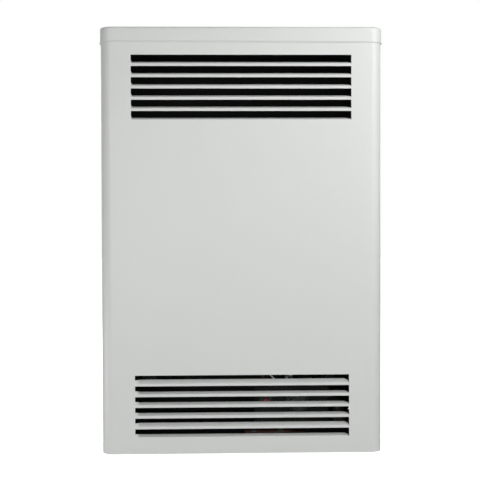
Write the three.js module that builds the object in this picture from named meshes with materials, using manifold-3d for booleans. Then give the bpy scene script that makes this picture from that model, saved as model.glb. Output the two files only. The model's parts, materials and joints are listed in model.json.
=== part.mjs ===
// Direct-vent gas wall heater: an upright sheet-steel casing with two pressed louvre grilles that pulls
// off a wall-hung chassis. The chassis carries a ribbed heat exchanger with a sealed burner door, a
// concentric flue and air collar through the wall, the gas valve with its push-and-turn knob, the piezo
// igniter, the pilot and the thermostat bulb.
// Units are millimetres. +Z is up, the front faces -Y, and the wall is the plane y = 0. Heights are
// counted from the casing's bottom edge; the last lines move the origin to mid-height on the wall.

import * as THREE from 'three';
import { mergeVertices } from 'three/addons/utils/BufferGeometryUtils.js';
import Module from 'manifold-3d';

const wasm = await Module();
wasm.setup();

// ---- Driving dimensions ---------------------------------------------------------------------------

const fitGap = 0.3; // air between two pieces that seat on, or slide along, each other
const joinOverlap = 0.6; // how far a feature runs into the sheet it grows from

const casing = {
  width: 465,
  height: 702,
  depth: 277,
  sheet: 1.2,
  cornerRadius: 19,
  wallGap: 3, // the rear edges stand this far off the wall
  rearFlange: 12,
  bottomFlange: 14,
};

const cap = { rim: 25.5, overhang: 2, sheet: 1.2, edgeRadius: 3, hem: 3.4, hemProjection: 0.8 };

// A blade is the strip left after a band is pierced out along the slot's top. It bends inwards from the
// slot's lower edge. Its left end is drawn back to the face, its right end is cut free on a curve.
const louvre = {
  count: 6, bendRadius: 2, bendAngle: THREE.MathUtils.degToRad(63.5), pierced: 3.8, webHeight: 6.4,
  freeEnd: 9,
};
const upperGrille = { sideMargin: 51.1, slot: 14.3, pitch: 18.42, belowTop: 45.7, web: 2.5 };
const lowerGrille = { sideMargin: 55.3, slot: 13.9, pitch: 17.77, aboveBottom: 25.4, web: 8 };

const panel = {
  sheet: 1.2,
  sideClearance: 5.9, // to the casing's rear flange
  sideFlange: 12,
  seatHeight: 11.4,
  seatDepth: 30,
  bend: 2,
  hookBelowTop: 26,
  hookReach: 12, // how far the hooked top edge steps forward to pass round the rail
  jogBelowRail: 18,
  jogHeight: 10,
  screwFromSide: 40,
  screwAbovePan: 60,
};
const rail = {
  width: 380, sheet: 2, belowTop: 8, channel: 5.5, lip: 12, hookDepth: 20, bend: 1.6, screwFromEnd: 30,
};
const wallScrewSlot = { length: 24, width: 8 };
const railScrewSlot = { length: 14, width: 7 };
const basePan = { sheet: 1.2, sideClearance: 4.4, sideLip: 12, frontLip: 9, lipEnd: 6, bend: 2 };
const catchLeaf = { sheet: 0.8, width: 30, length: 11, straight: 6, slack: 0.1, lead: 1.4 };

const shield = {
  sheet: 1, inset: 3.4, frontFlange: 16, frontClearance: 42, aboveBottom: 30, belowDeflector: 3,
};
const deflector = {
  sheet: 1, aboveAirBox: 4, rearFlange: 25, risePoint: 60, rise: 15, belowCap: 11, behindFront: 18,
  rearBend: 20, crownBend: 70,
};

const exchanger = {
  sheet: 1.5,
  sideClearance: 18.5, // from the seam flange to the side shields
  frontClearance: 80, // from the front shell's face to the casing
  rearClearance: 77, // from the rear shell's face to the wall
  aboveLowerGrille: 22.4,
  belowUpperGrille: 15.2,
  cornerRadius: 40,
  seamFlange: 12,
  shoulder: 0.66, // the side leans in up to this share of the draw and rounds over up to the knuckle
  knuckle: 0.87,
  shoulderInset: 0.16, // how far in each of them stands, as shares of the draw
  knuckleInset: 0.27,
  faceInset: 0.46,
};
const rib = {
  count: 7, pitch: 44, baseWidth: 22, crestWidth: 9, height: 8, root: 5, topMargin: 45, aboveDoor: 22,
};
const stay = { sheet: 1.5, height: 46, foot: 16, lip: 10, fromEnd: 70 };

const vent = {
  belowExchangerTop: 95,
  flueRadius: 38,
  airRadius: 76,
  sheet: 1.2,
  throughWall: 40,
  flange: 14,
  flueFlange: 8,
  flueInside: 8, // how far the flue collar stands into the rear shell
  flueLead: 12, // how far it stands out past the air collar
  gasket: 1.6,
};
const airBox = {
  margin: 13, // past the air collar's flange
  depth: 52, sheet: 1, flange: 8, cornerRadius: 18, frontRadius: 4, shoulder: 6,
};
const airDuct = {
  width: 120, depth: 38, sheet: 1, neckWidth: 100, neckHeight: 40, neckCorner: 4, belowNeck: 8,
};

const door = {
  width: 250, height: 64, border: 16, sheet: 2, cornerRadius: 14, emboss: 4, gasket: 1.6, gasketBorder: 12.8,
  gasketInset: 2, aboveExchanger: 44, openingRadius: 8,
};
const doorBoss = { endClearance: 5, sideClearance: 2, cornerRadius: 8, taper: 2 }; // inside the opening
const sight = {
  radius: 14, holeRadius: 12, glassRadius: 17, glass: 3, bezelWidth: 5.4, bezelHeight: 5, bevel: 1.4, x: -84,
};
const burner = {
  radius: 15, wall: 1.2, length: 190, fromDoor: 46, portCount: 11, portWidth: 2.4, portDepth: 14,
  portFromEnd: 8, bend: 30, mouthGap: 8, bracketFrom: 30, bracketWidth: 24,
};
const orifice = { x: 84, radius: 7, length: 18, hexAcross: 17, hexDepth: 9, drop: 12 };
const pilot = {
  sheet: 1,
  shelfBelow: 14,
  reach: 14,
  tubeTip: 20, // past the door's rear face, as is the sensor's tip
  sensorTip: 27,
  tubeX: 8,
  thermocoupleX: -10,
  electrodeX: 28,
  ceramic: 3,
  ceramicLength: 30,
  ceramicProud: 9,
  valveX: -36,
  lineBeside: 9, // the sensor line leaves the valve's side by this much
  rise: 11, // each line crosses over the control plate at a height of its own above the valve
  sensorRise: 7,
  cableRise: 25,
  sensorAbove: 14,
  lineSpacing: 6,
};

const hood = { radius: 5, mouth: 3.8, behindTip: 5, aheadOfTip: 7 };

const control = {
  plateSheet: 1.5, behindFront: 97, height: 82, foot: 34, knobInsideDoor: 25, pastPiezo: 20, pastKnob: 54,
};
const valve = {
  width: 84,
  height: 54,
  depth: 58,
  aboveBase: 52,
  bonnetRadius: 12,
  bonnetProud: 3, // in front of the control plate
  towerX: 16,
  towerRadius: 13,
  towerHeight: 5,
  inletAcross: 28,
  inletLength: 8,
  inletBelow: 8,
  outletAcross: 15,
  outletHeight: 5,
};
const stem = { radius: 4, flat: 2.8, inside: 12, engage: 11, clearance: 0.3 };
const knob = {
  radius: 21, depth: 18, skirt: 5, waist: 5.5, crown: 7, gripCount: 14, gripRadius: 1.6, gripInset: 4.9,
  pointerWidth: 4, pointerInset: 6.5, pointerHeight: 2.5, standOff: 8, travel: 4,
};
const piezo = {
  x: -56, radius: 9, length: 38, nutAcross: 24, nutDepth: 5, collar: 12, bore: 16, button: 6.5,
  buttonLength: 19, buttonInside: 7, travel: 6, collarHeight: 2.4, terminal: 2.4, terminalLength: 7,
  cableLead: 11,
};
const gasPipe = {
  radius: 10.65, bore: 7.9, fromValve: 33, bend: 20, nutAcross: 30, nutLength: 14, nutAbove: 3, end: 1,
  holeClearance: 3,
};
const manifoldPipe = { radius: 4.75, bend: 12, rise: 15 };
const lines = { pilotTube: 2, thermocouple: 1.6, cable: 1.7, bend: 10, cableBend: 7, throughDoor: 0.4 };
const bulb = {
  radius: 4.5, length: 84, start: 4, height: 12, behindFront: 32, capillary: 1.2, entry: 12, clipWidth: 8,
  clipSheet: 0.8, clipFoot: 9, leftClip: 12, rightClip: 58,
};

// ---- Places that follow from the sizes ------------------------------------------------------------

const halfWidth = casing.width / 2;
const frontY = -casing.depth;
const casingInnerFront = frontY + casing.sheet;
const capBottom = casing.height - cap.rim;
const casingTop = casing.height - cap.edgeRadius - fitGap; // clear of the cap's rolled edge

const upperWidth = casing.width - 2 * upperGrille.sideMargin;
const lowerWidth = casing.width - 2 * lowerGrille.sideMargin;
const upperSlots = Array.from({ length: louvre.count }, (_, i) =>
  casing.height - upperGrille.belowTop - upperGrille.slot - i * upperGrille.pitch);
const lowerSlots = Array.from({ length: louvre.count }, (_, i) =>
  lowerGrille.aboveBottom + i * lowerGrille.pitch);
const upperGrilleBottom = Math.min(...upperSlots);
const lowerGrilleTop = Math.max(...lowerSlots) + lowerGrille.slot;

const panelHalf = halfWidth - casing.rearFlange - panel.sideClearance;
const panelFront = -panel.sheet;
const hookTop = casing.height - panel.hookBelowTop;
const railTop = casing.height - rail.belowTop;
const railBottom = hookTop - rail.hookDepth;
const panelSeatTop = panel.seatHeight + panel.sheet;
const basePanTop = panelSeatTop + fitGap + basePan.sheet;
const basePanHalf = halfWidth - casing.rearFlange - basePan.sideClearance;

const shieldX = panelHalf - shield.inset;
const exchangerBottom = lowerGrilleTop + exchanger.aboveLowerGrille;
const exchangerTop = upperGrilleBottom - exchanger.belowUpperGrille;
const exchangerHeight = exchangerTop - exchangerBottom;
const exchangerCentre = (exchangerTop + exchangerBottom) / 2;
const exchangerWidth = 2 * (shieldX - shield.sheet - exchanger.sideClearance - exchanger.seamFlange);
const shellDraw = (casing.depth - exchanger.frontClearance - exchanger.rearClearance) / 2;
const seamY = -exchanger.rearClearance - shellDraw;
const shellFaceFront = seamY - fitGap / 2 - shellDraw;
const shellFaceRear = seamY + fitGap / 2 + shellDraw;
const ventZ = exchangerTop - vent.belowExchangerTop;
const airBoxWidth = 2 * (vent.airRadius + vent.flange + airBox.margin);
const deflectorStart = ventZ + airBoxWidth / 2 + airBox.flange + deflector.aboveAirBox;

const doorZ = exchangerBottom + door.aboveExchanger + door.height / 2;
const doorRear = shellFaceFront - fitGap - door.gasket - fitGap;
const doorFront = doorRear - door.sheet;
const burnerY = doorRear + burner.fromDoor;
const ribBottom = doorZ + door.height / 2 + rib.aboveDoor;
const ribTop = exchangerTop - rib.topMargin;

const valveX = door.width / 2 - control.knobInsideDoor;
const plateY = frontY + control.behindFront; // the control plate's middle
const plateFront = plateY - control.plateSheet / 2;
const plateRear = plateY + control.plateSheet / 2;
const valveZ = basePanTop + valve.aboveBase;
const valveFront = plateRear + fitGap;
const valveY = valveFront + valve.depth / 2;
const pipeX = valveX + valve.width / 2 + gasPipe.fromValve;
const pipeY = valveY;
const bulbY = frontY + bulb.behindFront;

// ---- Shape helpers --------------------------------------------------------------------------------

const flat = (x, y) => new THREE.Vector2(x, y);
const point = (x, y, z) => new THREE.Vector3(x, y, z);

// A closed surface with shared corners, no collapsed triangles and its faces pointing out.
function closed(geometry) {
  const bare = geometry.clone();
  bare.deleteAttribute('normal');
  bare.deleteAttribute('uv');
  const merged = mergeVertices(bare, 1e-4);
  const position = merged.attributes.position;
  const corners = Array.from(merged.index.array);
  const kept = [];
  const [a, b, c] = [point(0, 0, 0), point(0, 0, 0), point(0, 0, 0)];
  let volume = 0;
  for (let i = 0; i < corners.length; i += 3) {
    const [ia, ib, ic] = corners.slice(i, i + 3);
    if (ia === ib || ib === ic || ic === ia) continue;
    kept.push(ia, ib, ic);
    a.fromBufferAttribute(position, ia);
    b.fromBufferAttribute(position, ib);
    c.fromBufferAttribute(position, ic);
    volume += a.dot(b.cross(c));
  }
  merged.setIndex(volume < 0 ? kept.reverse() : kept);
  return merged;
}

function toSolid(geometry) {
  const surface = closed(geometry);
  const solid = new wasm.Manifold(new wasm.Mesh({
    numProp: 3,
    vertProperties: Float32Array.from(surface.attributes.position.array),
    triVerts: Uint32Array.from(surface.index.array),
  }));
  return solid;
}

function toGeometry(solid) {
  const mesh = solid.getMesh();
  const geometry = new THREE.BufferGeometry();
  geometry.setAttribute('position', new THREE.BufferAttribute(Float32Array.from(mesh.vertProperties), 3));
  geometry.setIndex(Array.from(mesh.triVerts));
  return geometry;
}

const unite = (...pieces) => toGeometry(pieces.map(toSolid).reduce((whole, next) => whole.add(next)));
const cut = (piece, ...tools) =>
  toGeometry(tools.map(toSolid).reduce((whole, tool) => whole.subtract(tool), toSolid(piece)));

// A line through the corners with each inner corner rounded, in two or three dimensions.
function roundedLine(corners, radius, steps) {
  const stations = [corners[0].clone()];
  for (let i = 1; i < corners.length - 1; i += 1) {
    const corner = corners[i];
    const back = corners[i - 1].clone().sub(corner);
    const ahead = corners[i + 1].clone().sub(corner);
    const room = 0.49 * Math.min(back.length(), ahead.length());
    back.normalize();
    ahead.normalize();
    const halfAngle = Math.acos(THREE.MathUtils.clamp(back.dot(ahead), -1, 1)) / 2;
    const wanted = Array.isArray(radius) ? radius[i - 1] : radius;
    const bend = Math.min(wanted, room * Math.tan(halfAngle));
    const turn = Math.PI - 2 * halfAngle;
    const start = corner.clone().addScaledVector(back, bend / Math.tan(halfAngle));
    const towards = back.clone().add(ahead).normalize();
    const centre = corner.clone().addScaledVector(towards, bend / Math.sin(halfAngle));
    const spoke = start.clone().sub(centre);
    for (let k = 0; k <= steps; k += 1) {
      const angle = (turn * k) / steps;
      stations.push(centre.clone()
        .addScaledVector(spoke, Math.cos(angle))
        .addScaledVector(back, -bend * Math.sin(angle)));
    }
  }
  stations.push(corners.at(-1).clone());
  return stations;
}

// Edge-on outline of a bent sheet: the rounded line with half the thickness on either side.
function sheetShape(corners, thickness, bendRadius = 2 * thickness, steps = 3) {
  const line = roundedLine(corners, bendRadius, steps);
  const left = [];
  const right = [];
  line.forEach((station, i) => {
    const into = i > 0 ? station.clone().sub(line[i - 1]).normalize() : null;
    const out = i < line.length - 1 ? line[i + 1].clone().sub(station).normalize() : null;
    const along = (into ?? out).clone().add(out ?? into).normalize();
    const stretch = along.dot(into ?? out);
    const side = flat(-along.y, along.x).multiplyScalar(thickness / 2 / stretch);
    left.push(station.clone().add(side));
    right.unshift(station.clone().sub(side));
  });
  return new THREE.Shape([...left, ...right]);
}

const extrude = (shape, depth) =>
  new THREE.ExtrudeGeometry(shape, { depth, bevelEnabled: false, curveSegments: 6 });

// A shape drawn in (y, z) and drawn out along X, one in (x, z) along Y, and one in (x, y) along Z.
const alongX = (shape, from, to) => extrude(shape, to - from)
  .applyMatrix4(new THREE.Matrix4().makeBasis(point(0, 1, 0), point(0, 0, 1), point(1, 0, 0)))
  .translate(from, 0, 0);
const alongY = (shape, from, to) => extrude(shape, to - from)
  .applyMatrix4(new THREE.Matrix4().makeBasis(point(1, 0, 0), point(0, 0, 1), point(0, -1, 0)))
  .translate(0, to, 0);
const alongZ = (shape, from, to) => extrude(shape, to - from).translate(0, 0, from);

const block = (x, y, z) => new THREE.BoxGeometry(x[1] - x[0], y[1] - y[0], z[1] - z[0])
  .translate((x[0] + x[1]) / 2, (y[0] + y[1]) / 2, (z[0] + z[1]) / 2);

const ringPoints = (radius, sides) => Array.from({ length: sides }, (_, i) => {
  const angle = (2 * Math.PI * i) / sides;
  return flat(radius * Math.cos(angle), radius * Math.sin(angle));
});

const hexShape = (across) => new THREE.Shape(ringPoints(across / Math.sqrt(3), 6));

// A rectangle with rounded corners, counter-clockwise, around the given middle.
function roundedRectangle(width, height, radius, steps = 4, middle = flat(0, 0)) {
  const outline = [];
  [[1, -1, -90], [1, 1, 0], [-1, 1, 90], [-1, -1, 180]].forEach(([sideX, sideY, startDegrees]) => {
    for (let k = 0; k <= steps; k += 1) {
      const angle = THREE.MathUtils.degToRad(startDegrees + (90 * k) / steps);
      outline.push(flat(
        middle.x + sideX * (width / 2 - radius) + radius * Math.cos(angle),
        middle.y + sideY * (height / 2 - radius) + radius * Math.sin(angle),
      ));
    }
  });
  return outline;
}

// A solid through outlines of as many points each, stacked along Z.
function stack(layers) {
  const count = layers[0].outline.length;
  const vertices = layers.flatMap(({ outline, height }) => outline.flatMap((p) => [p.x, p.y, height]));
  const faces = [];
  for (let layer = 0; layer < layers.length - 1; layer += 1) {
    for (let i = 0; i < count; i += 1) {
      const here = layer * count + i;
      const next = layer * count + ((i + 1) % count);
      faces.push(here, next, next + count, here, next + count, here + count);
    }
  }
  const lid = (layer, reverse) => THREE.ShapeUtils.triangulateShape(layers[layer].outline, [])
    .forEach(([a, b, c]) => {
      const corners = reverse ? [c, b, a] : [a, b, c];
      faces.push(...corners.map((corner) => corner + layer * count));
    });
  lid(0, true);
  lid(layers.length - 1, false);
  const geometry = new THREE.BufferGeometry();
  geometry.setAttribute('position', new THREE.Float32BufferAttribute(vertices, 3));
  geometry.setIndex(faces);
  return geometry;
}

// Turns a solid built along +Z to point along the given direction from the given start.
function aim(geometry, start, direction) {
  const turn = new THREE.Quaternion().setFromUnitVectors(point(0, 0, 1), direction.clone().normalize());
  return geometry.applyQuaternion(turn).translate(start.x, start.y, start.z);
}

// A turned piece: the profile lists [radius, height] from the axis back to the axis, or round a ring.
function turned(profile, start, direction, sides = 24) {
  const lathe = new THREE.LatheGeometry(profile.map(([radius, height]) => flat(radius, height)), sides);
  return aim(lathe.rotateX(Math.PI / 2), start, direction);
}

const rod = (start, end, radius, sides = 16) => {
  const length = start.distanceTo(end);
  return turned([[0, 0], [radius, 0], [radius, length], [0, length]], start, end.clone().sub(start), sides);
};

const ring = (inner, outer, from, to, start, direction, sides = 32) =>
  turned([[inner, from], [outer, from], [outer, to], [inner, to], [inner, from]], start, direction, sides);

// A route of straight runs and rounded bends that gives one station at each turn of the line.
class BentRoute extends THREE.Curve {
  constructor(corners, bendRadius, bendSteps) {
    super();
    this.stations = roundedLine(corners, bendRadius, bendSteps);
    this.last = this.stations.length - 1;
  }

  getPointAt(share) {
    return this.stations[Math.round(share * this.last)].clone();
  }

  getTangentAt(share) {
    const here = Math.round(share * this.last);
    const into = this.stations[here].clone().sub(this.stations[Math.max(here - 1, 0)]).normalize();
    const out = this.stations[Math.min(here + 1, this.last)].clone().sub(this.stations[here]).normalize();
    return into.add(out).normalize();
  }
}

// A pipe or lead along the corners. Its section has the given number of sides.
function pipe(corners, radius, bendRadius, sides = 8, bendSteps = 4) {
  const route = new BentRoute(corners, bendRadius, bendSteps);
  const section = new THREE.Shape(ringPoints(radius, sides));
  return new THREE.ExtrudeGeometry(section, { steps: route.last, extrudePath: route, bevelEnabled: false });
}

// ---- Finishes and the group -----------------------------------------------------------------------

const finishes = {
  powderCoat: [0xdcdedb, 0.45, 0],
  galvanised: [0x9aa0a3, 0.5, 0.8],
  blackEnamel: [0x1c1c1d, 0.8, 0],
  castAluminium: [0xa9acae, 0.5, 0.9],
  brass: [0xb99a55, 0.35, 1],
  blackPipe: [0x2b2b2c, 0.6, 0.4],
  aluminiumTube: [0xb9bcbe, 0.35, 1],
  copper: [0xb87350, 0.35, 1],
  blackPlastic: [0x202022, 0.45, 0],
  redPlastic: [0xa3211c, 0.4, 0],
  ceramic: [0xe9e4d8, 0.3, 0],
  glass: [0xc9d6d2, 0.08, 0],
  silicone: [0x6b1f1a, 0.6, 0],
  fibre: [0xcfc9bb, 0.95, 0],
  springSteel: [0x8c9094, 0.35, 1],
};

const heater = new THREE.Group();
const fromBottomEdge = new THREE.Group();
heater.add(fromBottomEdge);

function add(name, finish, geometry, parent = fromBottomEdge) {
  const [color, roughness, metalness] = finishes[finish];
  const solid = closed(geometry);
  solid.computeVertexNormals();
  const mesh = new THREE.Mesh(solid, new THREE.MeshStandardMaterial({ color, roughness, metalness }));
  mesh.name = name;
  parent.add(mesh);
  return mesh;
}

// ---- Casing: the wrapped front with its pressed louvres, and the cap ---------------------------------

// Plan outline of the casing grown outwards by a margin, open to the wall at its rear edge.
function casingPlan(margin, rearY, steps = 6) {
  const radius = casing.cornerRadius + margin;
  const centreX = halfWidth - casing.cornerRadius;
  const centreY = frontY + casing.cornerRadius;
  const outline = [flat(-halfWidth - margin, rearY)];
  [[-centreX, 180], [centreX, 270]].forEach(([x, startDegrees]) => {
    for (let k = 0; k <= steps; k += 1) {
      const angle = THREE.MathUtils.degToRad(startDegrees + (90 * k) / steps);
      outline.push(flat(x + radius * Math.cos(angle), centreY + radius * Math.sin(angle)));
    }
  });
  outline.push(flat(halfWidth + margin, rearY));
  return outline;
}

// Edge-on outline of one blade, in (y, z) from the slot's lower edge: a strip of the given length that
// bends inwards by the given angle over a short arc and then runs straight.
function bladeOutline(length, bottom, angle) {
  const arcLength = louvre.bendRadius * louvre.bendAngle;
  const bent = Math.min(arcLength, 0.8 * length);
  const places = [-joinOverlap, 0, ...[1, 2, 3, 4].map((k) => (bent * k) / 4), length];
  const inner = [];
  const outer = [];
  places.forEach((along) => {
    const onArc = THREE.MathUtils.clamp(along, 0, arcLength);
    const lean = (angle * onArc) / arcLength;
    const radius = angle > 0 ? arcLength / angle : Infinity;
    const arcY = angle > 0 ? radius * (1 - Math.cos(lean)) : 0;
    const arcZ = angle > 0 ? radius * Math.sin(lean) : onArc;
    const straight = along - onArc;
    const middle = flat(
      frontY + casing.sheet / 2 + arcY + straight * Math.sin(lean),
      bottom + arcZ + straight * Math.cos(lean),
    );
    const across = flat(Math.cos(lean), -Math.sin(lean)).multiplyScalar(casing.sheet / 2);
    inner.push(middle.clone().add(across));
    outer.unshift(middle.clone().sub(across));
  });
  return [...inner, ...outer];
}

// One pressed louvre. The left end rises from the face over the web's width, and the right end falls
// to the slot's lower corner on a quarter ellipse.
function pressedLouvre(width, slot, bottom, web) {
  const end = width / 2;
  const full = louvre.bendAngle;
  const strip = slot - louvre.pierced;
  const drawn = [[-joinOverlap, 0], [0, 0], [0.4, 0.62], [1, 1]].map(([across, share]) => ({
    height: -end + (across > 0 ? across * web : across),
    outline: bladeOutline(THREE.MathUtils.lerp(louvre.webHeight, strip, share), bottom, share * full),
  }));
  const cutFree = [1, 0.6, 0.3, 0.1, 0.02].map((across) => ({
    height: end - across * louvre.freeEnd,
    outline: bladeOutline(strip * Math.sqrt(1 - (1 - across) ** 2), bottom, full),
  }));
  return stack([...drawn, ...cutFree])
    .applyMatrix4(new THREE.Matrix4().makeBasis(point(0, 1, 0), point(0, 0, 1), point(1, 0, 0)));
}

const slotCut = (width, slot, bottom) => block(
  [-width / 2, width / 2],
  [frontY - casing.sheet, frontY + 2 * casing.sheet],
  [bottom, bottom + slot],
);

function frontJacket() {
  const inset = casing.sheet / 2;
  const sideX = halfWidth - inset;
  const rearY = -casing.wallGap - inset;
  const wrap = [
    flat(sideX - casing.rearFlange + inset, rearY), flat(sideX, rearY), flat(sideX, frontY + inset),
    flat(-sideX, frontY + inset), flat(-sideX, rearY), flat(-sideX + casing.rearFlange - inset, rearY),
  ];
  const bends = [2, casing.cornerRadius - inset, casing.cornerRadius - inset, 2];
  const walls = alongZ(sheetShape(wrap, casing.sheet, bends, 6), 0, casingTop);

  const flangeMiddle = casing.bottomFlange / 2;
  const hoop = [
    flat(halfWidth - flangeMiddle, -casing.wallGap - casing.bottomFlange),
    flat(halfWidth - flangeMiddle, frontY + flangeMiddle),
    flat(-halfWidth + flangeMiddle, frontY + flangeMiddle),
    flat(-halfWidth + flangeMiddle, -casing.wallGap - casing.bottomFlange),
  ];
  const hoopBend = casing.cornerRadius - flangeMiddle;
  const bottomFlange = alongZ(sheetShape(hoop, casing.bottomFlange, hoopBend, 6), 0, casing.sheet);

  const upper = upperSlots.map((bottom) => [upperWidth, upperGrille.slot, bottom, upperGrille.web]);
  const lower = lowerSlots.map((bottom) => [lowerWidth, lowerGrille.slot, bottom, lowerGrille.web]);
  const slots = [...upper, ...lower];
  const pierced = cut(unite(walls, bottomFlange), ...slots.map((slot) => slotCut(...slot)));
  return unite(pierced, ...slots.map((slot) => pressedLouvre(...slot)));
}

// The cap: a shallow tray over the casing's top, with a rolled edge and a hemmed rim, open to the wall.
function topCap() {
  const rearY = -casing.wallGap;
  const rollSteps = [1, 2, 3].map((k) => (k * Math.PI) / 6);
  const roll = (margin, top, radius) => rollSteps.map((angle) => ({
    outline: casingPlan(margin - radius * (1 - Math.cos(angle)), rearY),
    height: top - radius * (1 - Math.sin(angle)),
  }));
  const layer = (margin, height) => ({ outline: casingPlan(margin, rearY), height });
  const shell = stack([
    layer(cap.overhang + cap.hemProjection, capBottom),
    layer(cap.overhang + cap.hemProjection, capBottom + cap.hem),
    layer(cap.overhang, capBottom + cap.hem + cap.hemProjection),
    layer(cap.overhang, casing.height - cap.edgeRadius),
    ...roll(cap.overhang, casing.height, cap.edgeRadius),
  ]);
  const innerMargin = cap.overhang - cap.sheet;
  const innerTop = casing.height - cap.sheet;
  const innerRadius = cap.edgeRadius - cap.sheet;
  const behind = casing.wallGap; // the hollow runs out past the rear edge
  const hollow = stack([
    { outline: casingPlan(innerMargin, behind), height: capBottom - cap.sheet },
    { outline: casingPlan(innerMargin, behind), height: innerTop - innerRadius },
    { outline: casingPlan(innerMargin - innerRadius, behind), height: innerTop },
  ]);
  return cut(shell, hollow);
}

add('front_jacket', 'powderCoat', frontJacket());
add('top_cap', 'powderCoat', topCap());

// ---- Chassis: hanging rail, back panel, base pan, catches, shields and deflector ---------------------

const screwSlot = ({ length, width }, x, z) => {
  const outline = roundedRectangle(width, length, width / 2 - 0.01, 3, flat(x, z));
  return alongY(new THREE.Shape(outline), -4 * rail.sheet, rail.sheet);
};

function wallRail() {
  const plateY = -rail.sheet / 2;
  const lipY = -rail.sheet - rail.channel - rail.sheet / 2;
  const floorZ = railBottom + rail.sheet / 2;
  const profile = [
    flat(plateY, railTop), flat(plateY, floorZ), flat(lipY, floorZ), flat(lipY, railBottom + rail.lip),
  ];
  const bar = alongX(sheetShape(profile, rail.sheet, rail.bend, 2), -rail.width / 2, rail.width / 2);
  const screwZ = (railTop + railBottom + rail.lip + railScrewSlot.width) / 2;
  const screwX = rail.width / 2 - rail.screwFromEnd;
  return cut(bar, ...[-screwX, 0, screwX].map((x) => screwSlot(railScrewSlot, x, screwZ)));
}

function backPanel() {
  const middle = -panel.sheet / 2;
  const hookY = -rail.sheet - rail.channel / 2;
  const reachY = middle - panel.hookReach;
  const hookEnd = railBottom + rail.sheet + fitGap;
  const profile = [
    flat(-panel.seatDepth, panel.seatHeight + panel.sheet / 2),
    flat(middle, panel.seatHeight + panel.sheet / 2),
    flat(middle, railBottom - panel.jogBelowRail),
    flat(reachY, railBottom - panel.jogBelowRail + panel.jogHeight),
    flat(reachY, hookTop - panel.sheet / 2),
    flat(hookY, hookTop - panel.sheet / 2),
    flat(hookY, hookEnd),
  ];
  const sheet = alongX(sheetShape(profile, panel.sheet, panel.bend, 2), -panelHalf, panelHalf);
  const flangeZ = [panelSeatTop + 2 * panel.bend, railBottom - panel.jogBelowRail - 3 * panel.bend];
  const sideFlange = (side) => {
    const edges = [side * panelHalf, side * (panelHalf - panel.sheet)].sort((a, b) => a - b);
    return block(edges, [-panel.sideFlange, middle], flangeZ);
  };
  const hole = rod(point(0, -20, ventZ), point(0, 20, ventZ), vent.airRadius + 2 * fitGap, 40);
  const screwX = panelHalf - panel.screwFromSide;
  const screws = [-screwX, screwX]
    .map((x) => screwSlot(wallScrewSlot, x, basePanTop + panel.screwAbovePan));
  return cut(unite(sheet, sideFlange(-1), sideFlange(1)), hole, ...screws);
}

function basePanTray() {
  const middleZ = basePanTop - basePan.sheet / 2;
  const lipY = casingInnerFront + fitGap + basePan.sheet / 2;
  const profile = [
    flat(panelFront - panel.bend, middleZ), flat(lipY, middleZ), flat(lipY, basePanTop - basePan.frontLip),
  ];
  const tray = alongX(sheetShape(profile, basePan.sheet, basePan.bend, 2), -basePanHalf, basePanHalf);
  const lipRange = [frontY + casing.cornerRadius + basePan.lipEnd, -panel.sideFlange - 2 * panel.bend];
  const sideLip = (side) => {
    const edges = [side * basePanHalf, side * (basePanHalf - basePan.sheet)].sort((a, b) => a - b);
    return block(edges, lipRange, [middleZ, basePanTop + basePan.sideLip]);
  };
  const holeRadius = gasPipe.radius + gasPipe.holeClearance;
  const pipeHole = rod(point(pipeX, pipeY, middleZ - 5), point(pipeX, pipeY, middleZ + 5), holeRadius);
  const cornerX = halfWidth - casing.cornerRadius; // the front corners stay clear of the casing's bends
  const corner = (edges) => block(
    edges, [frontY, frontY + casing.cornerRadius], [basePanTop - 2 * basePan.frontLip, basePanTop + 1]);
  return cut(
    unite(tray, sideLip(-1), sideLip(1)), pipeHole, corner([-halfWidth, -cornerX]),
    corner([cornerX, halfWidth]),
  );
}

// A leaf spring on the panel's side flange, whose crown bears on the casing's rear flange.
function sideCatch(side) {
  const foot = panelHalf + fitGap + catchLeaf.sheet / 2;
  const crown = halfWidth - casing.rearFlange - fitGap - catchLeaf.sheet / 2 - catchLeaf.slack;
  const crownY = -casing.wallGap - casing.sheet / 2;
  const profile = [
    flat(side * foot, crownY - catchLeaf.length),
    flat(side * foot, crownY - catchLeaf.length + catchLeaf.straight),
    flat(side * crown, crownY), flat(side * (crown - catchLeaf.lead), crownY + catchLeaf.lead),
  ];
  const middle = casing.height / 2;
  return alongZ(sheetShape(profile, catchLeaf.sheet, 1.5, 2),
    middle - catchLeaf.width / 2, middle + catchLeaf.width / 2);
}

function sideShield(side) {
  const rearY = panelFront - fitGap - shield.sheet / 2;
  const x = shieldX - shield.sheet / 2;
  const shieldFront = frontY + shield.frontClearance;
  const profile = [
    flat(side * (x - shield.frontFlange), rearY), flat(side * x, rearY),
    flat(side * x, shieldFront), flat(side * (x - shield.frontFlange), shieldFront),
  ];
  const top = deflectorStart - shield.belowDeflector;
  return alongZ(sheetShape(profile, shield.sheet, 2, 2), shield.aboveBottom, top);
}

// The curved plate over the exchanger that turns the rising warm air out through the upper grille.
function warmAirDeflector() {
  const rearY = panelFront - fitGap - deflector.sheet / 2;
  const start = deflectorStart;
  const top = casing.height - cap.sheet - deflector.belowCap;
  const profile = [
    flat(rearY, start), flat(rearY, start + deflector.rearFlange),
    flat(rearY - deflector.risePoint, top - deflector.rise), flat(frontY + deflector.behindFront, top),
  ];
  const half = panelHalf - shield.inset;
  const bends = [deflector.rearBend, deflector.crownBend];
  return alongX(sheetShape(profile, deflector.sheet, bends, 5), -half, half);
}

add('wall_rail', 'galvanised', wallRail());
add('back_panel', 'galvanised', backPanel());
add('base_pan', 'blackEnamel', basePanTray());
add('side_catch_left', 'springSteel', sideCatch(-1));
add('side_catch_right', 'springSteel', sideCatch(1));
add('side_shield_left', 'blackEnamel', sideShield(-1));
add('side_shield_right', 'blackEnamel', sideShield(1));
add('warm_air_deflector', 'blackEnamel', warmAirDeflector());

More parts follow.
